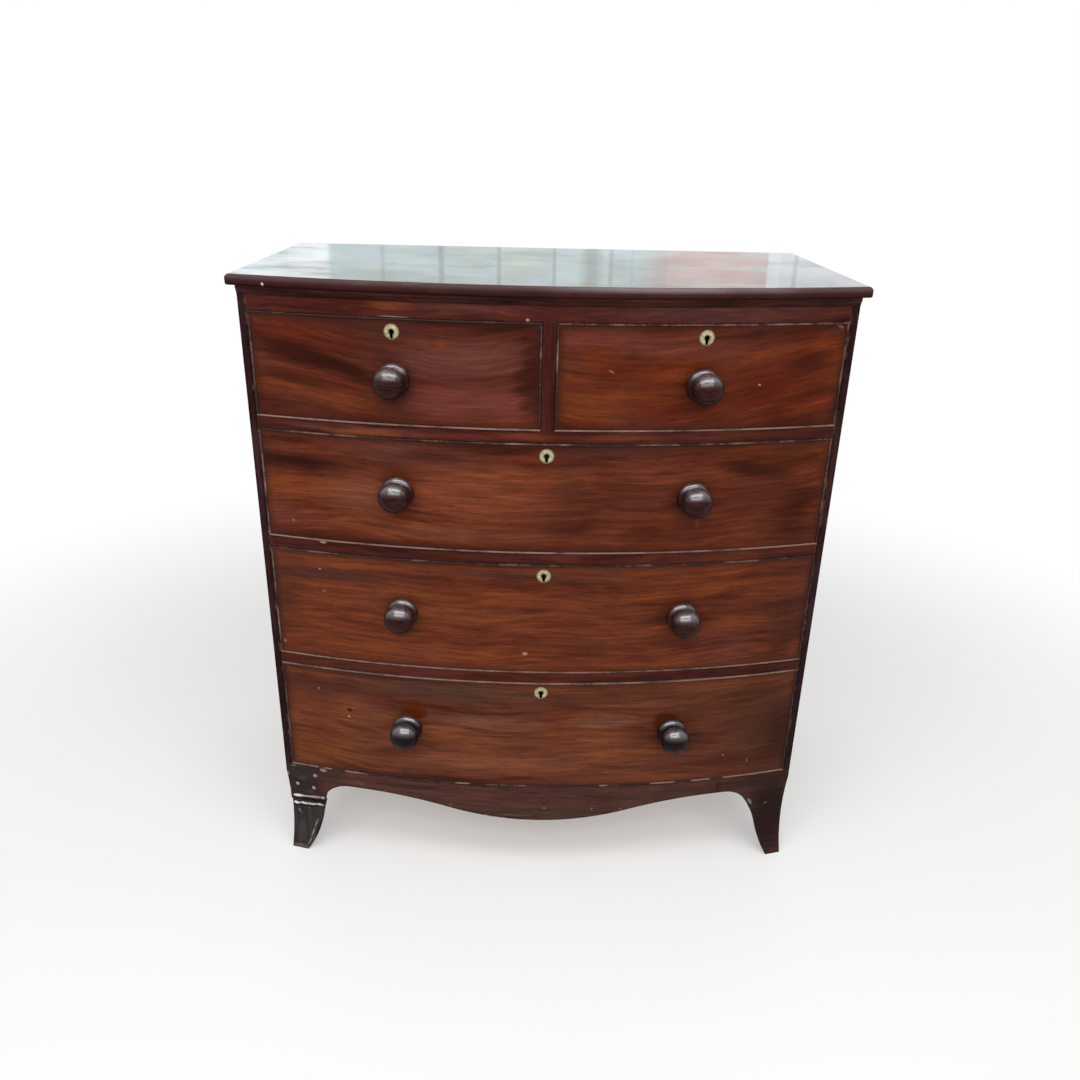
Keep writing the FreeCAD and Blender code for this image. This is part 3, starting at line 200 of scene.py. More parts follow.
def polishedWood(name, grain, seed, patches=(), nicks=(), flow=(), within=None, rawBehind=None,
                 nose=None, **changes):
    # patches and nicks: (along, across, half length, half width in mm, tilt in degrees, tone,
    # strength).  flow: how far the grain rises, in mm, at even steps along the piece that within
    # bounds.  rawBehind: (socket maker, where the wood is raw, where it is polished, in mm).
    look = {**mahogany, **changes}
    material, add, shader, place = startMaterial(name)
    along, across = grainAxes[grain]
    parts = add("SeparateXYZ", (place,))
    run, rise = parts.outputs[along], parts.outputs[across]

    bent = followFlow(add, run, rise, flow, within[0][along], within[1][along]) if flow else rise
    wave = add("TexNoise", (add("CombineXYZ", (run, bent, seed)), 1000 / look["wanderLength"], 1.0))
    waved = add("Math", (wave, look["wander"] / 250, bent), operation="MULTIPLY_ADD")
    space = add("CombineXYZ", (run, waved, seed))
    figure, ribbon, fleck, line, pore = [
        grainMarks(add, space, look[kind], detail, roughness) for kind, detail, roughness in (
            ("figure", 3, 0.5), ("ribbon", 3, 0.5), ("fleck", 3, 0.6), ("line", 2, 0.5),
            ("pore", 1, 0.5))]
    streaks = add("Mix", (look["ribbonShare"], figure, ribbon))
    streaks = add("Mix", (look["fleckShare"], streaks, fleck))
    color = add("ValToRGB", {"Fac": streaks})
    middle, spread = look["middle"], look["toneSpan"] / look["contrast"]
    setStops(color, (middle - spread, look["deep"]), (middle, look["ground"]),
             (middle + spread, look["light"]))

    cloud = add("TexNoise", (place, 6.0, 3.0, 0.6))
    color = layTone(add, color, look["film"], cloud, *look["filmSpan"], look["filmAmount"])
    for marks, kind, stretch in ((patches, "patch", 3), (nicks, "nick", 2)):
        if marks:
            spread = look[kind + "Spread"]
            color = layMarks(add, color, space, run, rise, marks, (stretch * spread, spread),
                             look[kind + "Span"])

    # Fine lines and pores stay visible through every tone
    fine, pores, bands = [add("MapRange", (marks, *look[kind + "Span"])) for marks, kind in (
        (line, "line"), (pore, "pore"), (fleck, "fleck"))]
    texture = add("Math", (fine, pores), operation="MULTIPLY")
    texture = add("Math", (texture, bands), operation="MULTIPLY")
    color = add("Mix", (1.0, color, texture), data_type="RGBA", blend_type="MULTIPLY")

    if look["dirt"]:
        # Old dirt gathers along the border, against the beads
        gaps = []
        for socket, low, high in zip((run, rise), *[[box[along], box[across]] for box in within]):
            away = awayFrom(add, socket, (low + high) / 2)
            gaps.append(add("Math", ((high - low) / 2, away), operation="SUBTRACT"))
        border = add("Math", gaps, operation="MINIMUM")
        blurred = add("Math", (fleck, -0.024, border), operation="MULTIPLY_ADD")
        color = layTone(add, color, tones["dirt"], blurred, *look["dirtSpan"], look["dirt"],
                        interpolation_type="SMOOTHSTEP")

    # Corners are softened by handling, and rubbed paler here and there; near an edge the wood is
    # first laid near black, to the amount of edgeDark, as painted shade
    rounded = add("Bevel", {"Radius": look["edge"] / 1000}, samples=4)
    if look["wear"] or look["edgeDark"]:
        nearEdge = add("Bevel", {"Radius": look["edgeReach"] / 1000}, samples=4)
        turned = add("VectorMath", (nearEdge, add("NewGeometry").outputs["Normal"]),
                     operation="DOT_PRODUCT")
        color = layTone(add, color, tones["edgeShadeTone"], turned, *look["edgeShadeSpan"], look["edgeDark"])
        rubbed = add("TexNoise", (place, 38.0, 3.0, 0.7))
        wear = add("Math", (add("MapRange", (turned, *look["wearSpan"])),
                            add("MapRange", (rubbed, *look["rubbedSpan"], 0.0, look["wear"]))),
                   operation="MULTIPLY")
        color = add("Mix", (wear, color, look["wearTone"]), data_type="RGBA")

    smoothest = look["roughness"] - 0.3 * look["dulling"]
    roughness = add("MapRange", (cloud, 0.35, 0.7, smoothest, smoothest + look["dulling"]))
    if rawBehind:
        source, rawEdge, polishedEdge = rawBehind
        raw = add("MapRange", (source(add, parts), polishedEdge / 1000, rawEdge / 1000))
        rawWood = add("Mix", (1.0, look["raw"], texture), data_type="RGBA", blend_type="MULTIPLY")
        color = add("Mix", (raw, color, rawWood), data_type="RGBA")
        roughness = add("Mix", (raw, roughness, 0.8))
    setInputs(shader, {
        "Base Color": color, "Roughness": roughness, "Specular IOR Level": look["gloss"],
        "Specular Tint": look["glossTint"], "Coat Weight": look["coat"],
        "Coat Roughness": look["coatRoughness"], "Normal": add("Bump", {
            "Strength": 0.25, "Distance": 0.0003, "Height": texture, "Normal": rounded})})
    if nose:
        roundNose(add, shader, place, color, figure, fleck, look["coat"], nose)
    return material


def roundNose(add, shader, place, face, figure, fleck, coat, nose):
    # Only the upper face is burnished. The nose round it is laid darker, darker still towards its
    # bottom as painted shade, and its upper arris takes a pale bluish painted reflection in places
    height = add("SeparateXYZ", (place,)).outputs[2]
    burnished, shadeBelowSpan, handledAndLit = [[nose["top"] - depth / 1000 for depth in nose[kind]]
                                  for kind in ("burnished", "shadeBelowSpan", "handledAndLit")]
    upper = add("MapRange", (height, *burnished))
    color = add("Mix", (0.75, face, nose["tone"]), data_type="RGBA")
    color = layTone(add, color, nose["shadeBelowTone"], height, *shadeBelowSpan, 0.3)
    corner = add("Math", (add("MapRange", (figure, 0.44, 0.60, 0.25, 0.95)),
                          add("MapRange", (height, *handledAndLit))), operation="MULTIPLY")
    color = add("Mix", (corner, color, nose["corner"]), data_type="RGBA")
    near = add("VectorMath", (place, [part / 1000 for part in nose["chipAt"]]),
               operation="DISTANCE")
    broken = add("Math", (fleck, 0.008, near), operation="MULTIPLY_ADD")
    color = layTone(add, color, nose["chip"], broken, *nose["chipSpan"])
    # French polish lies in faint waves
    waves = add("TexNoise", (place, 9.0, 2.0))
    setInputs(shader, {
        "Base Color": add("Mix", (upper, color, face), data_type="RGBA"),
        "Coat Normal": add("Bump", {"Strength": 1.0, "Distance": 0.00012, "Height": waves}),
        "Coat Weight": add("Math", (upper, coat), operation="MULTIPLY")})


def paint(material, *names):
    # A CAD node keeps its one slot, which takes the new material
    for name in names:
        nodes[name].material_slots[0].material = material


def ringReach(add, parts):
    # Distance from the centre of the bow, so that a limit on it follows the bowed face
    centred = add("Math", (parts.outputs[1], bow["centreY"]), operation="SUBTRACT")
    return add("VectorMath", (add("CombineXYZ", (parts.outputs[0], centred)),),
               operation="LENGTH")


def sideReach(add, parts):
    return add("Math", (parts.outputs[0],), operation="ABSOLUTE")


# Where the wood is raw and where polished, in mm: behind the bowed face, and out from the middle
rawLimits = {"front": (14, 9), "side": (478.02, 478.15)}
rawFront = (ringReach, *[bow["radius"] * 1000 - depth for depth in rawLimits["front"]])
rawSide = (sideReach, *rawLimits["side"])

# Each drawer front is its own sheet of figured veneer
frontLooks = {
    "top_left": {"seed": 11.0, "flow": (14, 2, -9, -8, -4), "ground": "#4c1f14", "light": "#602c18",
        "patches": [(-405, 1008, 100, 20, -14, "deep", 0.9), (-320, 985, 75, 15, -22, "deep", 0.85),
            (-420, 1040, 60, 16, -4, "red", 0.55), (-385, 942, 85, 18, -6, "orange", 0.3),
            (-300, 932, 60, 12, -4, "orange", 0.3), (-330, 960, 40, 8, -8, "red", 0.5),
            # The purplish grey patches at -150, -160 and -110 across are painted reflection of the
            # room on the polish
            (-260, 1056, 90, 16, -4, "smoke", 0.6), (-150, 1010, 120, 34, 3, "#5e352e", 0.75),
            (-160, 938, 110, 26, 0, "#5f3630", 0.4), (-110, 945, 110, 26, 0, "rose", 0.55),
            (-250, 925, 40, 8, 0, "brown", 0.6), (-169, 1032, 10, 12, 20, "#6a3413", 0.6),
            # The deep band at -26 along the right edge is a painted shadow beside the bead
            (-26, 985, 24, 80, 0, "deep", 0.75), (-110, 1064, 120, 10, -3, "deep", 0.7),
            # The deep round patch centred on the knob is a painted shadow round it, partly dirt
            (-50, 1048, 40, 14, -8, "deep", 0.3), (-244, 972, 34, 34, 0, "deep", 0.8),
            (-405, 968, 80, 12, -8, "#3a170e", 0.75), (-445, 925, 40, 16, 0, "#3e190f", 0.7)],
        # The first nick is painted shade inside the keyhole
        "nicks": [(-244.3, 1046.5, 6, 9.5, 0, "bore", 1.0)]},
    "top_right": {"seed": 17.0, "flow": (0, -4, 0, 16, 34), "ground": "#471a0e", "light": "#602912",
        "patches": [(75, 948, 70, 32, 0, "orange", 0.5), (30, 1020, 26, 40, 0, "brown", 0.5),
            (60, 1048, 80, 16, 4, "rose", 0.5), (190, 1036, 110, 22, 0, "haze", 0.5),
            (130, 1000, 60, 7, 4, "red", 0.5), (330, 1016, 80, 8, 14, "orange", 0.5),
            (420, 1003, 40, 24, 14, "deep", 0.7), (440, 940, 50, 14, 12, "#6a2c12", 0.6),
            (330, 945, 60, 12, 10, "red", 0.55), (400, 970, 60, 9, 18, "red", 0.4),
            (160, 935, 70, 14, -4, "#5c2513", 0.5), (452, 1058, 20, 10, -20, "smoke", 0.6),
            (330, 1055, 90, 9, 6, "deep", 0.6), (350, 985, 90, 40, 12, "#43150a", 0.65),
            (435, 962, 45, 14, 12, "#3c1309", 0.65), (70, 925, 60, 10, 0, "orange", 0.35),
            (200, 964, 70, 10, -4, "#471b10", 0.45), (62, 967, 45, 10, 0, "#471b10", 0.55),
            # The deep round patch centred on the knob is a painted shadow round it, partly dirt
            (244, 972, 34, 34, 0, "deep", 0.8)],
        # The first nick is painted shade inside the keyhole
        "nicks": [(244.3, 1046.5, 6, 9.5, 0, "bore", 1.0), (337, 974, 2.2, 1.8, 0, "pale", 0.5),
            (98, 997, 6, 1.2, -25, "chip", 0.4), (461, 1066, 8, 3, -35, "pale", 0.25)]},
    "second": {"seed": 23.0, "flow": (0, -3, -6, -2, 4, 8), "ground": "#522314",
        "patches": [(-425, 825, 100, 17, -3, "deep", 0.9), (-420, 783, 85, 22, 0, "orange", 0.65),
            (-440, 862, 60, 10, -4, "deep", 0.6), (-300, 812, 60, 7, -4, "red", 0.5),
            (-230, 856, 130, 26, -2, "haze", 0.8), (-100, 868, 110, 10, -1, "deep", 0.7),
            (-120, 790, 120, 52, -3, "#723c28", 0.65), (40, 800, 26, 60, 0, "brown", 0.55),
            (90, 864, 90, 12, 0, "smoke", 0.7), (140, 806, 90, 8, -2, "deep", 0.5),
            (352, 832, 62, 18, -8, "deep", 0.8), (430, 770, 40, 28, 20, "deep", 0.7),
            (330, 780, 110, 30, 8, "#4a1e12", 0.6), (250, 740, 120, 16, 0, "#5a2915", 0.5),
            (-430, 725, 90, 16, 0, "rose", 0.4), (-300, 780, 80, 40, 0, "#764531", 0.6),
            (-320, 852, 60, 9, 0, "brown", 0.4), (-150, 716, 150, 16, 0, "#74432f", 0.5),
            (-190, 850, 60, 14, 0, "deep", 0.55), (420, 852, 60, 14, 0, "deep", 0.6),
            (70, 852, 80, 10, 0, "deep", 0.4), (430, 716, 50, 14, 0, "deep", 0.35),
            # The deep round patches centred on the knobs are painted shadow round them, partly dirt
            (-244, 783, 34, 34, 0, "deep", 0.8), (244, 783, 34, 34, 0, "deep", 0.8)],
        # The first nick is painted shade inside the keyhole
        "nicks": [(0, 855, 6, 9.5, 0, "bore", 1.0), (256, 742, 4, 15, 8, "rose", 0.4),
            (-430, 720, 1.6, 2.2, 0, "pale", 0.4)]},
    "third": {"seed": 31.0, "flow": (0, 3, -2, -5, 0, 6), "ground": "#582817",
        "patches": [(-400, 622, 125, 15, 1, "smoke", 0.9), (-100, 645, 110, 10, -2, "smoke", 0.8),
            (-60, 602, 70, 13, -5, "orange", 0.75), (-230, 600, 60, 9, -2, "#76401f", 0.6),
            (-150, 560, 120, 18, -2, "#6f3a1f", 0.6), (-340, 580, 110, 10, -2, "#6a3722", 0.5),
            (170, 600, 70, 9, -8, "orange", 0.5), (300, 618, 80, 10, 6, "orange", 0.45),
            (60, 640, 80, 10, 0, "smoke", 0.6), (440, 560, 45, 60, 10, "brown", 0.25),
            (395, 600, 60, 24, 4, "#653015", 0.4), (450, 500, 50, 20, 30, "deep", 0.6),
            (-460, 560, 30, 70, 0, "brown", 0.5), (80, 510, 30, 22, 0, "brown", 0.4),
            (150, 520, 90, 14, 0, "orange", 0.3), (-330, 500, 100, 10, 3, "brown", 0.4),
            (-270, 632, 130, 11, 0, "deep", 0.4), (-445, 585, 40, 26, 0, "brown", 0.4),
            (110, 580, 80, 28, 0, "#713a21", 0.35), (270, 535, 90, 18, 0, "#6b3620", 0.45),
            # The deep round patches centred on the knobs are painted shadow round them, partly dirt
            (400, 636, 80, 12, 0, "deep", 0.35), (-244, 560, 34, 34, 0, "deep", 0.7),
            (244, 560, 34, 34, 0, "deep", 0.7), (352, 549, 60, 26, 0, "#74391b", 0.45)],
        # The first nick is painted shade inside the keyhole
        "nicks": [(0, 641.3, 6, 9.5, 0, "bore", 1.0), (-30, 492, 5, 4, 0, "chip", 0.75),
            (-389, 632, 1.9, 1.8, 0, "pale", 0.6), (-477, 549, 2.2, 2.6, 0, "pale", 0.5),
            (-468, 478, 3, 4, 0, "chip", 0.5), (-385, 590, 3, 2, 0, "chip", 0.4)]},
    "bottom": {"seed": 43.0, "flow": (0, 2, 0, -3, 0), "light": "#6f3d24", "ground": "#5a2d1c",
        "patches": [(-420, 390, 110, 14, -2, "smoke", 0.6),
            (-150, 405, 200, 22, -2, "#463027", 0.75), (150, 402, 170, 20, 0, "brown", 0.65),
            (-400, 345, 80, 10, -8, "#6c371f", 0.6), (-420, 250, 90, 28, 0, "#74401c", 0.65),
            (-100, 335, 90, 9, -4, "haze", 0.5), (80, 320, 110, 28, 0, "#6c3a20", 0.5),
            (-100, 250, 170, 20, 0, "#7a4830", 0.6), (-330, 262, 50, 8, 4, "brown", 0.5),
            (-180, 214, 90, 7, 0, "deep", 0.6), (150, 240, 100, 12, 3, "brown", 0.4),
            (420, 330, 80, 100, 0, "brown", 0.8), (460, 290, 26, 70, 0, "deep", 0.55),
            (300, 380, 120, 26, 0, "brown", 0.55), (240, 250, 70, 22, 0, "haze", 0.3),
            (-340, 310, 50, 8, -10, "deep", 0.4), (400, 396, 90, 20, 0, "deep", 0.5),
            (390, 240, 120, 26, 0, "#3a1a12", 0.6), (450, 290, 50, 90, 0, "#2c120a", 0.55),
            (-200, 292, 60, 12, 0, "deep", 0.35), (40, 292, 110, 12, 0, "brown", 0.4),
            (274, 290, 50, 16, 0, "#43200f", 0.5), (235, 238, 70, 14, 0, "#45200f", 0.45),
            (-430, 300, 60, 90, 0, "#5a2713", 0.35), (-105, 348, 90, 14, 0, "#704a3b", 0.45),
            # The deep round patches centred on the knobs are painted shadow round them, partly dirt
            (120, 348, 70, 12, 0, "#704a3b", 0.45), (-244, 319, 34, 34, 0, "deep", 0.6),
            (244, 319, 34, 34, 0, "deep", 0.6)],
        # The first nick is painted shade inside the keyhole
        "nicks": [(0, 408.7, 6, 9.5, 0, "bore", 1.0), (-353, 347, 6, 4.5, 0, "deep", 0.8),
            (-355, 333, 2.2, 2.2, 0, "pale", 0.8), (-228, 362, 21, 22, 40, "#501d05", 0.85),
            (231, 342, 23, 23, 0, "#401a07", 0.85), (350, 258, 2.0, 2.0, 0, "chip", 0.5),
            (400, 240, 1.8, 1.8, 0, "pale", 0.4), (-410, 386, 2.4, 3, 0, "pale", 0.3)]},
}
print("materials: drawer fronts")
for key, sheet in frontLooks.items():
    node = "drawer_" + key + "_front"
    paint(polishedWood("figuredMahoganyFrenchPolished_" + key, "x on z", rawBehind=rawFront,
                       within=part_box(node), dirt=0.6, wear=0.0, **sheet), node)

print("materials: case")
# Tones for the nose: a darker tone over all of it, a near black as painted shade towards its
# bottom, and a pale bluish painted reflection along the upper arris
topNose = {"top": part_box("top_board")[1].z, "tone": "#341f1f", "shadeBelowTone": "#140a09",
           "corner": "#756b70", "chip": "#c3b0ac", "chipAt": (-444, -212, 1113),
           "chipSpan": (0.0070, 0.0055),
           # (from, to) in mm below the top
           "burnished": (1.4, 0.3), "shadeBelowSpan": (8.5, 14.5), "handledAndLit": (9.5, 2.5)}
paint(polishedWood("mahoganyTopBurnished", "x on y", 3.0, ground="#4c241b", light="#5c2f22",
                   deep="#351813", roughness=0.16, gloss=0.0, coat=1.0, coatRoughness=0.02,
                   wear=0.0, edge=2.0, nose=topNose), "top_board")
railLook = {"deep": "#250c0a", "ground": "#3b1712", "light": "#502419", "film": "#3e2022"}
railPatches = [(-245, 1091, 30, 7, -4, "#6d3a1c", 0.65), (-120, 1088, 110, 12, 0, "haze", 0.5),
    (-300, 889, 130, 7, 0, "#65392f", 0.55), (-300, 886, 60, 6, 0, "#84451f", 0.5),
    (-110, 889, 110, 6, 0, "#5f2a22", 0.5), (-30, 889, 40, 6, 0, "#7a3a1c", 0.4),
    (120, 889, 60, 5, 0, "orange", 0.5), (300, 889, 90, 5, 0, "brown", 0.6),
    (-420, 1092, 60, 8, 0, "#4a1d19", 0.6), (250, 1088, 190, 16, 0, "#4c332f", 0.4),
    (-100, 676, 120, 5, 0, "brown", 0.5), (300, 676, 80, 5, 0, "brown", 0.5),
    (-300, 443, 120, 5, 0, "brown", 0.45)]
railNicks = [(-240, 1073, 26, 0.9, 0, "pale", 0.35), (-34, 1074, 3.0, 2.4, 0, "chip", 0.8),
    (-380, 684, 6, 3, 0, "chip", 0.8), (92, 688, 4, 2.5, 0, "pale", 0.9),
    (113, 688, 4, 2.5, 0, "pale", 0.9)]
paint(polishedWood("mahoganyCrossRails", "x on z", 51.0, railPatches, railNicks, wear=0.3,
                   **railLook), "frieze_rail", "drawer_rails")
# The cove under the top is laid near black, as painted shade under the top's overhang
covePatches = [(-150, 1101, 60, 5, 0, "#3b2219", 0.5), (60, 1101, 60, 4, 0, "#361d17", 0.4)]
paint(polishedWood("mahoganyCoveMouldingShaded", "x on z", 53.0, covePatches, ground="#2b1413",
                   light="#4a211c", deep="#150706", gloss=0.1, wear=0.0, edgeDark=0.8),
      "top_moulding")
paint(polishedWood("mahoganyDivider", "z on x", 57.0, wear=0.2, deep="#1d0807", ground="#31120e",
                   light="#421b14", film="#351918"), "centre_divider")
paint(polishedWood("mahoganySides", "z on y", 61.0, deep="#180a0b", ground="#291415",
                   light="#39201d", film="#33202a", gloss=0.06, roughness=0.42, dulling=0.05,
                   wear=0.45, edge=0.7, edgeReach=8.0, edgeDark=0.9, rawBehind=rawSide),
      "side_left", "side_right")

# The base is stained darker and has taken knocks; it darkens further towards the feet.  Hard
# filler over the mended joint in the left foot has gone chalky in spots.
baseLook = {"deep": "#301b17", "ground": "#462a23", "light": "#57352a", "film": "#4b332e",
            "contrast": 0.55, "gloss": 0.085, "roughness": 0.38, "wear": 0.45, "edge": 0.5,
            "edgeReach": 5.5, "edgeDark": 0.85}
basePatches = [(0, 136, 300, 16, 0, "#3c302a", 0.5), (-120, 175, 160, 18, -4, "#54332c", 0.4),
    (220, 150, 90, 12, -8, "#4a3630", 0.5), (-250, 185, 70, 6, 0, "#2d1a17", 0.6),
    (-465, 160, 48, 60, 0, "#272022", 0.95), (-455, 195, 60, 22, 0, "#2d2426", 0.8),
    (-395, 190, 26, 20, 0, "#362425", 0.6), (465, 110, 52, 110, 0, "#1a0e09", 0.97),
    (430, 190, 60, 16, 0, "#2a1914", 0.9), (360, 182, 60, 12, 4, "#33201a", 0.7),
    (455, 60, 40, 60, 0, "#241517", 0.7)]
baseNicks = [(-458, 118.5, 46, 5.0, 5, "#0c0909", 0.95), (-466, 127, 5, 1.8, 0, "#ece9e6", 0.8),
    (-422, 130, 4, 3.0, 0, "#b4aea9", 0.9), (-437, 129, 12, 3.2, 6, "#8a8582", 0.9),
    (-455, 127.3, 16, 1.9, 5, "#a9a6a3", 0.9), (-474, 126, 11, 3.2, 5, "#d9d6d2", 0.95),
    (-416, 201, 7, 5, 0, "#9a7e80", 0.8), (-489, 178, 2, 4, 0, "pale", 0.7),
    (-460, 172, 12, 6, 20, "#443a40", 0.5), (-446, 142, 9, 5, 0, "#453c40", 0.4),
    (-489, 140, 2.2, 3, 0, "pale", 0.6), (-476, 200, 5, 2.5, 0, "#77706e", 0.5),
    (-300, 148, 3, 3, 0, "#6d4f4c", 0.5), (-248, 143, 3, 4, 0, "#6d4f4c", 0.5),
    (-340, 180, 4, 3, 0, "#6d4f4c", 0.4), (190, 150, 3, 4, 0, "#6d5048", 0.4),
    (-100, 131, 2.5, 2.5, 0, "#8d8a6a", 0.8), (12, 152, 3, 2.5, 0, "#84655c", 0.6),
    (-42, 134, 30, 2.0, 0, "#5d5540", 0.45), (102, 150, 2, 4, 0, "#7c5e54", 0.6),
    (158, 148, 3, 2.5, 0, "#7c5e54", 0.5), (-168, 152, 4, 3, 0, "#6d4f48", 0.5),
    (418, 137, 9, 3.0, -60, "#7d8c76", 0.55), (452, 128, 4, 3, 0, "#6a5548", 0.5)]
paint(polishedWood("mahoganyBaseDarkStained", "x on z", 67.0, basePatches, baseNicks, **baseLook),
      "apron_front", "foot_front_left", "foot_front_right")
paint(polishedWood("mahoganySkirtsAndRearFeet", "y on z", 71.0, **{**baseLook, "edgeDark": 0.4}),
      "side_skirts", "foot_rear_left", "foot_rear_right")
spliceNicks = [(104, -455, 1.9, 38, -5, "#0a0808", 0.95),
    (109.3, -455, 2.4, 34, -5, "#a9a5a0", 0.9), (108.7, -463, 2.8, 7, 0, "#dedbd5", 0.9),
    (106.8, -479, 3.2, 5, 0, "#f0ede8", 1.0), (109.8, -446, 2.2, 6, 0, "#cdc9c3", 0.8),
    (111.3, -430, 2.8, 7, 0, "#bab5af", 0.9), (106, -491, 3.0, 3, 0, "#d3cfc9", 0.9),
    (90, -474, 5, 2.6, -20, "#6d6967", 0.7), (84, -470, 4, 2, 0, "#5b5756", 0.6),
    (58, -432, 30, 5, 22, "#0b0909", 0.85), (66, -440, 12, 1.3, 22, "#8d7a68", 0.8),
    (42, -449, 12, 1.5, 22, "#96826f", 0.85), (20, -457, 12, 1.6, 25, "#8a7461", 0.8),
    (5, -475, 4, 22, 0, "#6b5a4a", 0.7), (40, -470, 26, 9, 0, "#3f3c3d", 0.5)]
paint(polishedWood("hardwoodSpliceSmokeStained", "z on x", 83.0, nicks=spliceNicks,
                   deep="#1d1b1c", ground="#2e2b2c", light="#3c393a", film="#45403f", gloss=0.15,
                   roughness=0.5, edge=2.5, edgeDark=0.6, wear=0.9, wearTone="#8a7360"),
      "foot_splice_left")

# Cockbeads: strips of mahogany planed to a rounded nose, blackened with polish and rubbed pale
print("materials: cockbeads")
beadWood = {"ground": "#3a2320", "dark": "#1f110f", "rubbed": "#80645a", "roughness": 0.42,
            "gloss": 0.15, "width": 3.1}
# How far the left, right, top and bottom strips are rubbed pale: wear, and in part painted light,
# as the high values of the lower strips lay a painted highlight and the low value of the top left
# drawer's top strip is painted shade under the top
beadRubbedAndLit = {"top_left": (0.45, 0.25, 0.05, 1.0), "top_right": (0.5, 0.4, 0.5, 0.95),
              "second": (0.7, 0.3, 0.4, 0.9), "third": (0.45, 0.3, 0.3, 0.8),
              "bottom": (0.4, 0.3, 0.85, 0.2)}
# Where the lowest strip is rubbed pale, as (from, to) in mm
beadPale = {"bottom": ((-485, -425), (-412, -398), (-372, -325), (-158, -130), (116, 129),
                       (212, 259), (290, 328), (354, 484))}


def beadMaterial(key):
    material, add, shader, place = startMaterial("cockbeadMahoganyRubbed_" + key)
    low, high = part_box("drawer_" + key + "_cockbead")
    x, _, z = add("SeparateXYZ", (place,)).outputs
    streak = stretchedNoise(add, place, (16.0, 16.0, 16.0), 6.0, 0.75, start=(0.0, 0.0, low.z))
    grain = add("TexNoise", (place, 160.0, 2.0))
    color = add("Mix", (grain, beadWood["dark"], beadWood["ground"]), data_type="RGBA")
    width = beadWood["width"] / 1000
    amount, right, top, bottom = beadRubbedAndLit[key]
    for value, operation, limit, other in (
            (x, "GREATER_THAN", high.x - width, right), (z, "GREATER_THAN", high.z - width, top),
            (z, "LESS_THAN", low.z + width, bottom)):
        on = add("Math", (value, limit), operation=operation)
        amount = add("Mix", (on, amount, other))
    for start, stop in beadPale.get(key, ()):
        away = awayFrom(add, x, (start + stop) / 2000)
        half = (stop - start) / 2000
        inside = add("MapRange", (away, half + 0.004, half - 0.004, 0.0, 1.15))
        lower = add("Math", (inside, on), operation="MULTIPLY")
        amount = add("Math", (amount, lower), operation="MAXIMUM")
    threshold = add("Math", (amount, -0.32, 0.66), operation="MULTIPLY_ADD")
    over = add("Math", (streak, threshold), operation="SUBTRACT")
    setInputs(shader, {
        "Base Color": layTone(add, color, beadWood["rubbed"], over, -0.05, 0.16, 0.95),
        "Roughness": beadWood["roughness"], "Specular IOR Level": beadWood["gloss"]})
    return material


for key in drawerKeys:
    paint(beadMaterial(key), "drawer_" + key + "_cockbead")

# Pine, planed and left bare: pale early wood, darker late wood, gone brown and dusty with age.
# ring is the width of a year and fibre a mark's (length, width), in mm.
print("materials: pine")
pine = {"early": "#b68e64", "late": "#8f653f", "dust": "#6d5440", "ring": 7, "fibre": (60, 0.8),
        "roughness": 0.72, "gloss": 0.25, "stain": 0.6, "seedStep": 3.7}


def barePine(name, grain, seed, turns=(), boards=None, **changes):
    # turns: (axis, limit in metres, side, grain) for boards of one node that run another way.
    # boards: (start, pitch in metres) where one node holds a row of boards, each from its own tree
    look = {**pine, **changes}
    material, add, shader, place = startMaterial(name)
    parts = add("SeparateXYZ", (place,)).outputs
    run, rise = [parts[axis] for axis in grainAxes[grain]]
    for axis, limit, side, otherGrain in turns:
        beyond = add("Math", (parts[axis], limit), operation=side)
        run, rise = [add("Mix", (beyond, old, parts[new]))
                     for old, new in zip((run, rise), grainAxes[otherGrain])]
    if boards:
        start, pitch = boards
        counted = add("Math", (rise, 1 / pitch, -start / pitch), operation="MULTIPLY_ADD")
        seed = add("Math", (add("Math", (counted,), operation="FLOOR"), look["seedStep"], seed),
                   operation="MULTIPLY_ADD")
    flat = add("CombineXYZ", (run, rise, seed))
    wave = stretchedNoise(add, flat, (0.8, 5.0, 1.0), 2.0, 0.35)
    warped = add("Math", (wave, 0.22, rise), operation="MULTIPLY_ADD")
    phase = add("Math", (warped, 2 * math.pi * 1000 / look["ring"]), operation="MULTIPLY")
    rings = add("Math", (phase,), operation="SINE")
    # Some years grow more late wood than others
    years = add("TexNoise", (add("CombineXYZ", (warped, seed)), 55.0, 2.0))
    late = add("MapRange", (years, 0.35, 0.68, 0.12, 0.8))
    color = layTone(add, look["early"], look["late"], rings, -0.3, 1.0, late)
    fibre = grainMarks(add, flat, look["fibre"], 2)
    color = add("Mix", (1.0, color, add("MapRange", (fibre, 0.3, 0.7, 0.88, 1.1))),
                data_type="RGBA", blend_type="MULTIPLY")
    stain = add("TexNoise", (place, 4.0, 8.0, 0.68))
    setInputs(shader, {
        "Base Color": layTone(add, color, look["dust"], stain, 0.42, 0.70, look["stain"]),
        "Roughness": look["roughness"], "Specular IOR Level": look["gloss"],
        "Normal": add("Bump", {"Strength": 0.3, "Distance": 0.0004, "Height": fibre})})
    return material


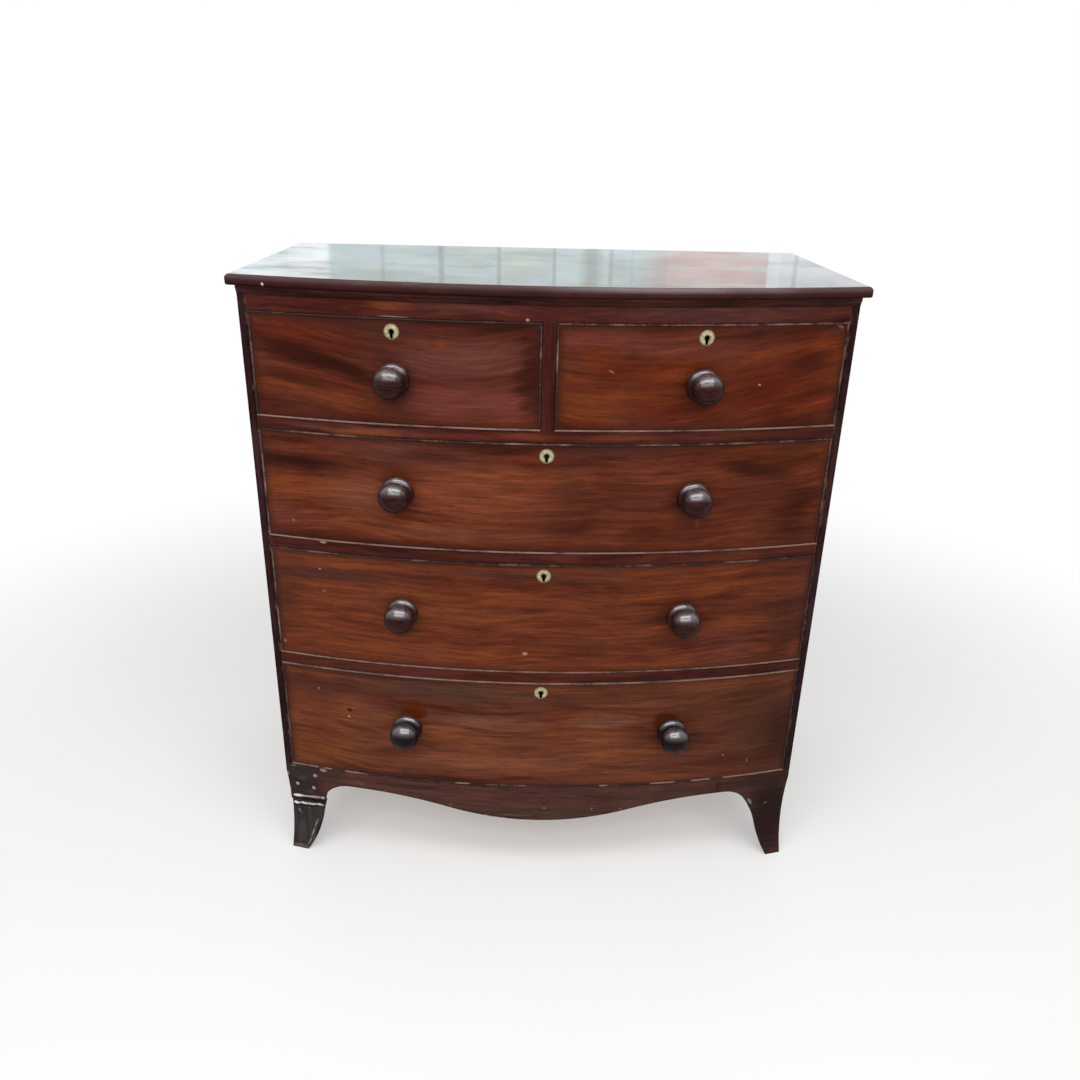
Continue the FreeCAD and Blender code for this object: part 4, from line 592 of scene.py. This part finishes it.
low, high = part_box("backboards")
paint(barePine("pineBackboards", "x on z", 5.0, boards=(low.z, (high.z - low.z + 0.0006) / 4),
               early="#8f704f", late="#70502f", dust="#5e4c3d"), "backboards")
paint(barePine("pineRearRail", "x on z", 9.0), "rear_top_rail")
paint(barePine("pineFloorBoards", "x on y", 6.0), "bottom_board", "dustboards")
paint(barePine("pineRunners", "y on x", 8.0), "drawer_runners", "centre_runner", "kickers")
paint(barePine("pineBlocks", "x on z", 7.0), "glue_blocks", "drawer_stops")
for number, key in enumerate(drawerKeys):
    low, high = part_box("drawer_" + key + "_box")
    paint(barePine("pineDrawerLining_" + key, "y on z", 10.0 + number, turns=[
        (1, high.y - 0.012, "GREATER_THAN", "x on z"), (2, low.z + 0.014, "LESS_THAN", "x on y")]),
        "drawer_" + key + "_box")

# Metals: cast brass gone yellow-green in its low places, forged iron, and bright steel
print("materials: metals")


def oldMetal(name, bright, dark, roughness, scale, amount=0.6, rings=()):
    # rings: (distance from the centre in mm, tone), read from a disc's own attribute
    material, add, shader, place = startMaterial(name)
    patch = add("TexNoise", (place, scale, 4.0, 0.65))
    if rings:
        first, last = rings[0][0], rings[-1][0]
        reach = add("Attribute", attribute_name="reach").outputs["Fac"]
        bright = add("ValToRGB", {"Fac": add("MapRange", (reach, first, last))})
        setStops(bright, *[((away - first) / (last - first), tone) for away, tone in rings])
    setInputs(shader, {
        "Base Color": layTone(add, bright, dark, patch, 0.40, 0.66, amount), "Metallic": 1.0,
        "Roughness": add("MapRange", (patch, 0.35, 0.7, roughness - 0.08, roughness + 0.15)),
        "Normal": add("Bump", {"Strength": 0.2, "Distance": 0.0002, "Height": patch})})
    return material


# The discs are rubbed bright round their middle; tarnish sits at the keyhole, in the groove and
# round the rim, and the darkest outer rim is also painted shade, a shadow line round the disc
escutcheonBrass = oldMetal("castBrassTarnished", "#c6bb95", "#6f6846", 0.40, 240, 0.75, rings=[
    (3.5, "#1c180f"), (5.0, "#8d8463"), (6.4, "#c3b99c"), (9.6, "#bfb495"), (11.4, "#968c68"),
    (12.3, "#55492f"), (12.95, "#241a10")])
lockBrass = oldMetal("rolledBrassDull", "#b49656", "#6b5a34", 0.40, 90)
lockIron = oldMetal("forgedIronRusted", "#5a5450", "#4a3326", 0.55, 110, 0.9)
screwSteel = oldMetal("turnedSteelWorn", "#b09c9e", "#5f5252", 0.42, 400)
for key in drawerKeys:
    paint(lockBrass, "drawer_" + key + "_bolt")
    paint(lockIron, "drawer_" + key + "_lock")


def addObject(name, shape, material):
    mesh = bpy.data.meshes.new(name)
    shape.to_mesh(mesh)
    shape.free()
    mesh.materials.append(material)
    made = bpy.data.objects.new(name, mesh)
    bpy.context.scene.collection.objects.link(made)
    return made


sharpAngle = 40                             # in degrees, past which an edge is shaded as a corner


def addPiece(name, shape, material, body):
    # Turns a finished bmesh into a piece that rides on a body
    piece = addObject(name, shape, material)
    for face in piece.data.polygons:
        face.use_smooth = True
    piece.data.set_sharp_from_angle(angle=math.radians(sharpAngle))
    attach(piece, body)
    return piece


# Knobs, each turned in one piece from hardwood, stained nearly black and French polished.
# The profile is (radius, height above the face) in mm, from the end of the tenon to the front.
knob = {
    "profile": [(0, -22), (6.6, -22), (7, -21.6), (7, 0), (26.4, 0), (27, 1.4), (27, 3.6),
                (26.4, 5.8), (25.0, 7.8), (22.8, 9.4), (19.8, 10.8), (17.4, 12.0), (16.5, 13.4),
                (17.0, 14.8), (19.0, 16.4), (22.9, 19.4), (25.3, 23.0), (26.0, 26.8),
                (25.5, 30.8), (24.0, 35.0), (21.2, 39.0), (17.3, 42.5), (12.8, 45.2),
                (7.6, 46.9), (2.5, 47.7), (0, 47.8)],
    "steps": 64, "offset": 244.25, "roughness": 0.34, "gloss": 0.12, "glossTint": "#d8b8b8",
    "coatRoughness": 0.17, "coatIndex": 2.0, "dark": "#130908", "light": "#3a1e1a",
    # dirt: the near black of the groove, painted shade with some dirt; dust: the pale grey of
    # upward faces, dust and a painted highlight
    "dirt": "#0a0404", "dust": "#726c73", "blackBelow": 0.44, "black": "#0c0a0b",
    "grooveFrom": (11.4, 9.8), "grooveTo": (20.5, 25.0),
    "up": {"top_left": 974.1, "top_right": 974.1, "second": 785.5, "third": 562.4,
           "bottom": 321.8},
}


def knobWood():
    material, add, shader, place = startMaterial("turnedHardwoodBlackStained")
    color = add("ValToRGB", {"Fac": stretchedNoise(add, place, (60.0, 14.0, 240.0), 4.0, 0.6)})
    setStops(color, (0.35, knob["dark"]), (0.68, knob["light"]))
    # The lowest pair was stained again, blacker than the rest
    height = add("SeparateXYZ", (place,)).outputs[2]
    color = layTone(add, color, knob["black"], height, knob["blackBelow"] + 0.01,
                    knob["blackBelow"], 0.85)
    # The groove is laid near black, painted shade there as well as dirt, and where a turning faces
    # up a pale grey is laid, dust and a painted highlight.
    # out is the knob's own attribute, the height above the drawer front in mm.
    standing = add("Attribute", attribute_name="out").outputs["Fac"]
    outOfGroove = add("Math", (add("MapRange", (standing, *knob["grooveFrom"])),
                         add("MapRange", (standing, *knob["grooveTo"]))),
                operation="ADD", use_clamp=True)
    color = add("Mix", (outOfGroove, knob["dirt"], color), data_type="RGBA")
    facing = add("SeparateXYZ", (add("NewGeometry").outputs["Normal"],)).outputs[2]
    upward = add("MapRange", (facing, 0.22, 0.85), interpolation_type="SMOOTHSTEP")
    handledAndLit = add("TexNoise", (place, 95.0, 3.0, 0.5))
    spots = add("MapRange", (handledAndLit, 0.34, 0.66, 0.08, 0.40))
    dustAndHighlight = add("Math", (upward, spots), operation="MULTIPLY")
    dustAndHighlight = add("Math", (dustAndHighlight, outOfGroove), operation="MULTIPLY")
    color = add("Mix", (dustAndHighlight, color, knob["dust"]), data_type="RGBA")
    # The polish has gone from the groove and from below, where hands wear it, and thins out
    # towards the rims
    rims = add("LayerWeight", {"Blend": 0.5}).outputs["Facing"]
    coat = add("Math", (add("MapRange", (rims, 0.45, 0.8, 1.0, 0.15)), outOfGroove),
               operation="MULTIPLY")
    over = add("MapRange", (facing, 0.15, 0.75), interpolation_type="SMOOTHSTEP")
    dull = add("MapRange", (handledAndLit, 0.38, 0.66, knob["roughness"] - 0.06,
                            knob["roughness"] + 0.16))
    setInputs(shader, {
        "Base Color": color, "Roughness": dull, "Specular IOR Level": knob["gloss"],
        "Specular Tint": knob["glossTint"], "Coat Roughness": knob["coatRoughness"],
        "Coat IOR": knob["coatIndex"],
        "Coat Weight": add("Math", (coat, over), operation="MULTIPLY"),
        "Normal": add("Bump", {"Strength": 0.3, "Distance": 0.0006, "Height": handledAndLit})})
    return material


def turnKnob(shape, across, up):
    # Spins the profile about the knob's own axis, then seats it on the face
    standing = shape.verts.layers.float.get("out") or shape.verts.layers.float.new("out")
    start = [shape.verts.new((radius / 1000, -out / 1000, 0.0)) for radius, out in knob["profile"]]
    edges = [shape.edges.new(pair) for pair in zip(start, start[1:])]
    bmesh.ops.spin(shape, geom=start + edges, axis=(0, 1, 0), cent=(0, 0, 0), angle=2 * math.pi,
                   steps=knob["steps"], use_merge=True, use_duplicate=False)
    bmesh.ops.remove_doubles(shape, verts=[v for v in shape.verts if not v.tag], dist=1e-6)
    fresh = [v for v in shape.verts if not v.tag]
    bmesh.ops.recalc_face_normals(shape, faces=list({f for v in fresh for f in v.link_faces}))
    for vert in fresh:
        vert[standing] = -1000 * vert.co.y
        vert.tag = True
    bmesh.ops.transform(shape, matrix=pointOnBow(across, up), verts=fresh)


print("knobs")
knobMaterial = knobWood()
for key in drawerKeys:
    sides = {"top_left": (-1,), "top_right": (1,)}.get(key, (-1, 1))
    ending = "" if len(sides) == 1 else "s"
    node = "drawer_" + key + "_knob" + ending
    shape = bmesh.new()
    for side in sides:
        turnKnob(shape, side * knob["offset"], knob["up"][key])
    piece = addPiece("turned_knob" + ending + "_" + key, shape, knobMaterial, "drawer_" + key)
    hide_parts(node)

# Escutcheons: cast brass discs, let in flush with a lip at the rim and round the keyhole.  The way
# for the key's bit starts where the hole narrows, at wayFrom of its radius.
escutcheon = {"radius": 12.95, "sink": 0.9, "proud": 0.8, "lip": 1.5, "lipHeight": 0.35,
              "dome": 0.9, "bevel": 0.22, "keyhole": 3.8, "wayFrom": 0.75, "wayWidest": 0.66,
              "wayLength": 10.8, "wayHalf": 2.1, "segments": 48, "drop": 21,
              "place": {"top_left": -244.25, "top_right": 244.25}}


def sinkFaces(shape, faces, depth):
    # Extrudes faces and moves the new ones down by the depth in mm
    moved = bmesh.ops.extrude_face_region(shape, geom=faces)["geom"]
    bmesh.ops.translate(shape, vec=(0, 0, -depth / 1000),
                        verts=[part for part in moved if isinstance(part, bmesh.types.BMVert)])


def pierceDisc(shape):
    rim, hole = [bmesh.ops.create_circle(
        shape, segments=escutcheon["segments"], radius=escutcheon[part] / 1000)["verts"]
        for part in ("radius", "keyhole")]
    for vert in hole:                       # the lower part of the hole opens into the flared way
        if vert.co.y < -escutcheon["wayFrom"] * escutcheon["keyhole"] / 1000:
            vert.co.y = -escutcheon["wayLength"] / 1000
            vert.co.x *= escutcheon["wayHalf"] / (escutcheon["wayWidest"] * escutcheon["keyhole"])
    edges = list({edge for vert in rim + hole for edge in vert.link_edges})
    sinkFaces(shape, bmesh.ops.bridge_loops(shape, edges=edges)["faces"],
              escutcheon["sink"] + escutcheon["proud"])
    bmesh.ops.recalc_face_normals(shape, faces=shape.faces)
    front = [face for face in shape.faces if face.normal.z > 0.9]
    bmesh.ops.inset_region(shape, faces=front, thickness=escutcheon["lip"] / 1000,
                           depth=-escutcheon["lipHeight"] / 1000, use_even_offset=True)
    sharp = [edge for edge in shape.edges if len(edge.link_faces) == 2
             and edge.calc_face_angle() > 0.6]
    bmesh.ops.bevel(shape, geom=sharp, offset=escutcheon["bevel"] / 1000, offset_type="OFFSET",
                    affect="EDGES", segments=2, profile=0.5, material=-1)
    reach = shape.verts.layers.float.new("reach")
    for vert in shape.verts:
        vert[reach] = 1000 * math.hypot(vert.co.x, vert.co.y)
        if vert.co.z > -escutcheon["proud"] / 1000:     # the face falls away towards the rim
            vert.co.z -= escutcheon["dome"] / 1000 * (vert[reach] / escutcheon["radius"]) ** 2
    # Stand it up, facing the way the drawer opens
    bmesh.ops.rotate(shape, verts=shape.verts, matrix=Matrix.Rotation(math.pi / 2, 3, "X"))


print("escutcheons")
for key in drawerKeys:
    shape = bmesh.new()
    pierceDisc(shape)
    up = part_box("drawer_" + key + "_front")[1].z * 1000 - escutcheon["drop"]
    bmesh.ops.transform(shape, verts=shape.verts, matrix=pointOnBow(
        escutcheon["place"].get(key, 0), up, escutcheon["proud"]))
    piece = addPiece("cast_escutcheon_" + key, shape, escutcheonBrass, "drawer_" + key)
    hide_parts("drawer_" + key + "_escutcheon")

# Heads of wood screws, in mm; neck and rim are shares of the head's radius
screw = {"head": 1.3, "neck": 0.55, "rim": 0.94, "slotWidth": 0.9, "slotDepth": 0.7,
         "segments": 24}


def slottedHead(shape, place, radius):
    # A flat head made of two halves with the slot between them, facing -Y of its place
    old = set(shape.verts)
    down = -(screw["slotDepth"] + screw["head"] / 2) / 1000
    bmesh.ops.create_cone(shape, cap_ends=True, segments=screw["segments"],
                          radius1=radius * screw["neck"], radius2=radius * screw["rim"],
                          depth=screw["head"] / 1000, matrix=Matrix.Translation((0, 0, down)))
    for turn in (0, math.pi):
        known = set(shape.verts)
        bmesh.ops.create_circle(shape, cap_ends=True, segments=screw["segments"], radius=radius)
        disc = [vert for vert in shape.verts if vert not in known]
        geom = disc + list({edge for vert in disc for edge in vert.link_edges})
        geom += list({face for vert in disc for face in vert.link_faces})
        cut = bmesh.ops.bisect_plane(
            shape, geom=geom, dist=1e-7, plane_co=(screw["slotWidth"] / 2000, 0, 0),
            plane_no=(1, 0, 0), clear_inner=True)["geom"]
        sinkFaces(shape, [part for part in cut if isinstance(part, bmesh.types.BMFace)],
                  screw["slotDepth"])
        half = [vert for vert in shape.verts if vert not in known]
        bmesh.ops.rotate(shape, verts=half, matrix=Matrix.Rotation(turn, 3, "Z"))
    made = [vert for vert in shape.verts if vert not in old]
    bmesh.ops.recalc_face_normals(shape, faces=list({f for vert in made for f in vert.link_faces}))
    bmesh.ops.transform(shape, verts=made, matrix=place @ Matrix.Rotation(math.pi / 2, 4, "X"))


print("screws and nails")
footScrews = {"radius": 4.0, "proud": 0.5,
              "at": [(-471, 158, 35), (-433, 184, -20), (-438, 154, 70)]}
shape = bmesh.new()
for across, up, turn in footScrews["at"]:
    # The head sits proud of the foot, square to the bow there
    slottedHead(shape, pointOnBow(across, up, footScrews["proud"])
                @ Matrix.Rotation(math.radians(turn), 4, "Y"), footScrews["radius"] / 1000)
piece = addPiece("slotted_foot_screws", shape, screwSteel, "carcass")
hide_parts("foot_repair_screws")

lockScrews = {"radius": 2.6, "across": 24, "up": (6, 33), "out": -22.75}
for key in drawerKeys:
    shape = bmesh.new()
    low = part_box("drawer_" + key + "_lock")[0].z * 1000
    for side in (-1, 1):
        for up in lockScrews["up"]:
            place = pointOnBow(escutcheon["place"].get(key, 0), low + up, lockScrews["out"])
            place = place @ Matrix.Rotation(math.pi, 4, "Z") @ Matrix.Translation(
                (side * lockScrews["across"] / 1000, 0, 0)) @ Matrix.Rotation(
                side * 0.6 + up, 4, "Y")
            slottedHead(shape, place, lockScrews["radius"] / 1000)
    addPiece("lock_screws_" + key, shape, screwSteel, "drawer_" + key)

nail = {"radius": 3.2, "dome": 0.05, "sink": 0.03, "across": 481.5, "spacing": 70}
shape = bmesh.new()
low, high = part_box("backboards")
count = int((high.z - low.z) * 1000 / nail["spacing"])
flatten = Matrix.Diagonal((1, nail["dome"] / nail["radius"], 1, 1))
for side in (-1, 1):
    for number in range(count):
        up = low.z + (number + 0.5) * (high.z - low.z) / count
        place = Matrix.Translation((side * nail["across"] / 1000, high.y - nail["sink"] / 1000, up))
        bmesh.ops.create_uvsphere(shape, u_segments=12, v_segments=8,
                                  radius=nail["radius"] / 1000, matrix=place @ flatten)
addPiece("backboard_nails", shape, lockIron, "carcass")

# The paper floor, in metres
stage = {"floor": "#f4f4f2", "floorHalf": 30.0, "fadeFrom": 0.9, "fadeTo": 2.3, "fadeLeast": 0.3}


def seenRays(add):
    # 1 for rays that show the background itself, direct, mirrored or through glass
    ray = add("LightPath").outputs
    seen = ray["Is Camera Ray"]
    for kind in ("Is Glossy Ray", "Is Transmission Ray"):
        seen = add("Math", (seen, ray[kind]), operation="MAXIMUM")
    return seen


def makeStage():
    # Matt studio paper; far from the chest it gives way to plain white, so no horizon shows
    material, add, shader, place = startMaterial("mattStudioPaper")
    setInputs(shader, {"Base Color": stage["floor"], "Roughness": 0.9, "Specular IOR Level": 0.1})
    fade = add("MapRange", (add("VectorMath", (place,), operation="LENGTH"), stage["fadeFrom"],
                            stage["fadeTo"], stage["fadeLeast"]), interpolation_type="SMOOTHSTEP")
    factor = add("Math", (fade, seenRays(add)), operation="MULTIPLY")
    setInputs(material.node_tree.nodes["Material Output"], {
        "Surface": add("MixShader", (factor, shader, add("Emission")))})
    shape = bmesh.new()
    bmesh.ops.create_grid(shape, x_segments=1, y_segments=1, size=stage["floorHalf"])
    floor = addObject("floor", shape, material)


# Window-like lamps in two rows, so that gloss shows panes and not one spot
lamps = {
    "lowerLeft": {"at": (-1.35, -2.4, 2.4), "aim": 0.5, "watts": 15},
    "lowerMiddle": {"at": (-0.1, -2.7, 2.5), "aim": 0.5, "watts": 16},
    "lowerRight": {"at": (1.15, -2.4, 2.4), "aim": 0.5, "watts": 13},
    "upperLeft": {"at": (-1.3, -1.35, 3.1), "aim": 0.7, "watts": 16},
    "upperMiddle": {"at": (-0.1, -1.5, 3.3), "aim": 0.7, "watts": 16},
    "upperRight": {"at": (1.1, -1.35, 3.1), "aim": 0.7, "watts": 15},
    "fill": {"at": (2.6, -2.8, 1.9), "aim": 0.5, "watts": 8, "size": (2.0, 2.0), "inGloss": False},
    "overhead": {"at": (0.0, 0.5, 3.4), "aim": 0.6, "watts": 14, "size": (2.6, 2.0),
                 "inGloss": False},
}
paneSize = (1.4, 1.0)
worldLight = 0.40


def makeLights():
    for name, lamp in lamps.items():
        data = bpy.data.lights.new(name, "AREA")
        data.shape = "RECTANGLE"
        data.size, data.size_y = lamp.get("size", paneSize)
        data.energy = lamp["watts"]
        lampObject = bpy.data.objects.new(name, data)
        direction = Vector((0, 0, lamp["aim"])) - Vector(lamp["at"])
        lampObject.location = lamp["at"]
        lampObject.rotation_euler = direction.to_track_quat("-Z", "Y").to_euler()
        lampObject.visible_camera = False
        lampObject.visible_glossy = lamp.get("inGloss", True)
        bpy.context.scene.collection.objects.link(lampObject)
    world = bpy.context.scene.world = bpy.data.worlds.new("paleStudio")
    world.use_nodes = True
    world.node_tree.nodes.clear()
    add = partial(addNode, world.node_tree)
    level = add("Mix", (seenRays(add), worldLight, 1.0))
    background = add("Background", {"Color": (1.0, 1.0, 1.0, 1.0), "Strength": level})
    add("OutputWorld", {"Surface": background})


# A pale window wall far behind, which only gloss shows: it gives the polished top its cool sheen.
# bars: (place across in m, half width in mm, strength)
windowWall = {"away": 4.0, "halfWidth": 2.7, "low": 1.25, "high": 2.1,
              "bars": [(-0.915, 8, 0.5), (-0.57, 12, 0.75), (-0.228, 8, 0.7), (0.10, 7, 0.65),
                       (0.32, 34, 0.8), (0.435, 8, 0.6), (0.56, 5, 0.25), (1.53, 9, 0.5)],
              "glass": "#ddf2f6", "green": "#def2ea", "bright": "#f0fbff", "frame": "#bccaca",
              "wall": "#dfd2cf", "wallFrom": 0.68, "wallTo": 1.36, "strength": 1.35,
              "pane": 0.335, "firstPane": 0.1, "blindTo": (-1.21, -1.25), "skyFrom": (1.3, 1.4),
              "bare": (-1.35, 0.12)}


def windowGlow(add, place):
    across = add("SeparateXYZ", (place,)).outputs[0]
    cloud, leaves, slats = [
        stretchedNoise(add, place, scale, detail, 0.6, 1.6) for scale, detail in (
            ((1.6, 1.0, 9.0), 4.0), ((4.0, 1.0, 5.0), 2.0), ((1.2, 1.0, 30.0), 2.0))]
    color = layTone(add, windowWall["glass"], windowWall["green"], leaves, 0.45, 0.62)
    # Blinds are half drawn at the far left, and the far right looks out at bare sky
    blind = add("Math", (add("MapRange", (across, *windowWall["blindTo"])),
                         add("MapRange", (slats, 0.44, 0.56))), operation="MULTIPLY")
    pale = add("Math", (blind, add("MapRange", (across, *windowWall["skyFrom"]))),
               operation="MAXIMUM")
    bare = add("Math", (across, *windowWall["bare"]), operation="COMPARE")
    pale = add("Math", (pale, bare), operation="MAXIMUM")
    color = add("Mix", (pale, color, windowWall["bright"]), data_type="RGBA")
    mask = add("MapRange", (slats, 0.43, 0.35, 0.0, 0.45))
    for at, half, strength in windowWall["bars"]:
        bar = add("MapRange", (awayFrom(add, across, at), half * 0.0024, half * 0.0005, 0.0,
                               strength))
        mask = add("Math", (mask, bar), operation="MAXIMUM")
    color = add("Mix", (mask, color, windowWall["frame"]), data_type="RGBA")
    # A stretch of wall stands between two windows
    start, end = windowWall["wallFrom"], windowWall["wallTo"]
    solid = add("Math", (add("MapRange", (across, start - 0.1, start + 0.1)),
                         add("MapRange", (across, end + 0.01, end))), operation="MULTIPLY")
    solid = add("Math", (solid, add("MapRange", (slats, 0.52, 0.60, 1.0, 0.45))),
                operation="MULTIPLY")
    color = add("Mix", (solid, color, windowWall["wall"]), data_type="RGBA")
    # Each pane is as bright as its own piece of sky
    pane = windowWall["pane"]
    number = add("Math", (across, 1 / pane, -windowWall["firstPane"] / pane),
                 operation="MULTIPLY_ADD")
    tint = add("TexWhiteNoise", {"W": add("Math", (number,), operation="FLOOR")},
               noise_dimensions="1D")
    strength = add("MapRange", (cloud, 0.3, 0.7, windowWall["strength"] * 0.88,
                                windowWall["strength"] * 1.12))
    for factor in (add("MapRange", (tint, 0.0, 1.0, 0.96, 1.05)),
                   add("Math", (blind, 0.25, 1.0), operation="MULTIPLY_ADD")):
        strength = add("Math", (strength, factor), operation="MULTIPLY")
    return add("Emission", {"Color": color, "Strength": strength})


def makeWindowWall():
    material, add, shader, place = startMaterial("windowWallGlow")
    setInputs(material.node_tree.nodes["Material Output"], {"Surface": windowGlow(add, place)})
    material.node_tree.nodes.remove(shader)
    shape = bmesh.new()
    bmesh.ops.create_grid(shape, x_segments=1, y_segments=1, size=0.5)
    height = windowWall["high"] - windowWall["low"]
    bmesh.ops.transform(shape, verts=shape.verts, matrix=Matrix.Translation(
        (0, windowWall["away"], windowWall["low"] + height / 2))
        @ Matrix.Rotation(math.pi / 2, 4, "X")
        @ Matrix.Diagonal((2 * windowWall["halfWidth"], height, 1, 1)))
    wall = addObject("windowWall", shape, material)
    wall.visible_camera = wall.visible_diffuse = False
    wall.visible_shadow = wall.visible_transmission = False


camera = {"at": (-0.02756, -1.6815, 1.32086), "pitch": 23.169, "yaw": -0.7937, "roll": 1.2928,
          "focalPixels": 926.03, "framePixels": 1080, "sensor": 36.0, "clip": (0.05, 100)}


def makeCamera():
    data = bpy.data.cameras.new("camera")
    data.sensor_width = camera["sensor"]
    data.sensor_fit = "HORIZONTAL"
    data.lens = camera["focalPixels"] / camera["framePixels"] * camera["sensor"]
    data.clip_start, data.clip_end = camera["clip"]
    cameraObject = bpy.data.objects.new("camera", data)
    turn = (Matrix.Rotation(math.radians(camera["yaw"]), 4, "Z")
            @ Matrix.Rotation(math.radians(90 - camera["pitch"]), 4, "X")
            @ Matrix.Rotation(math.radians(camera["roll"]), 4, "Z"))
    cameraObject.matrix_world = Matrix.Translation(camera["at"]) @ turn
    bpy.context.scene.collection.objects.link(cameraObject)
    bpy.context.scene.camera = cameraObject


print("stage, lights and camera")
makeStage()
makeWindowWall()
makeLights()
makeCamera()
bpy.context.scene.view_settings.view_transform = "Standard"
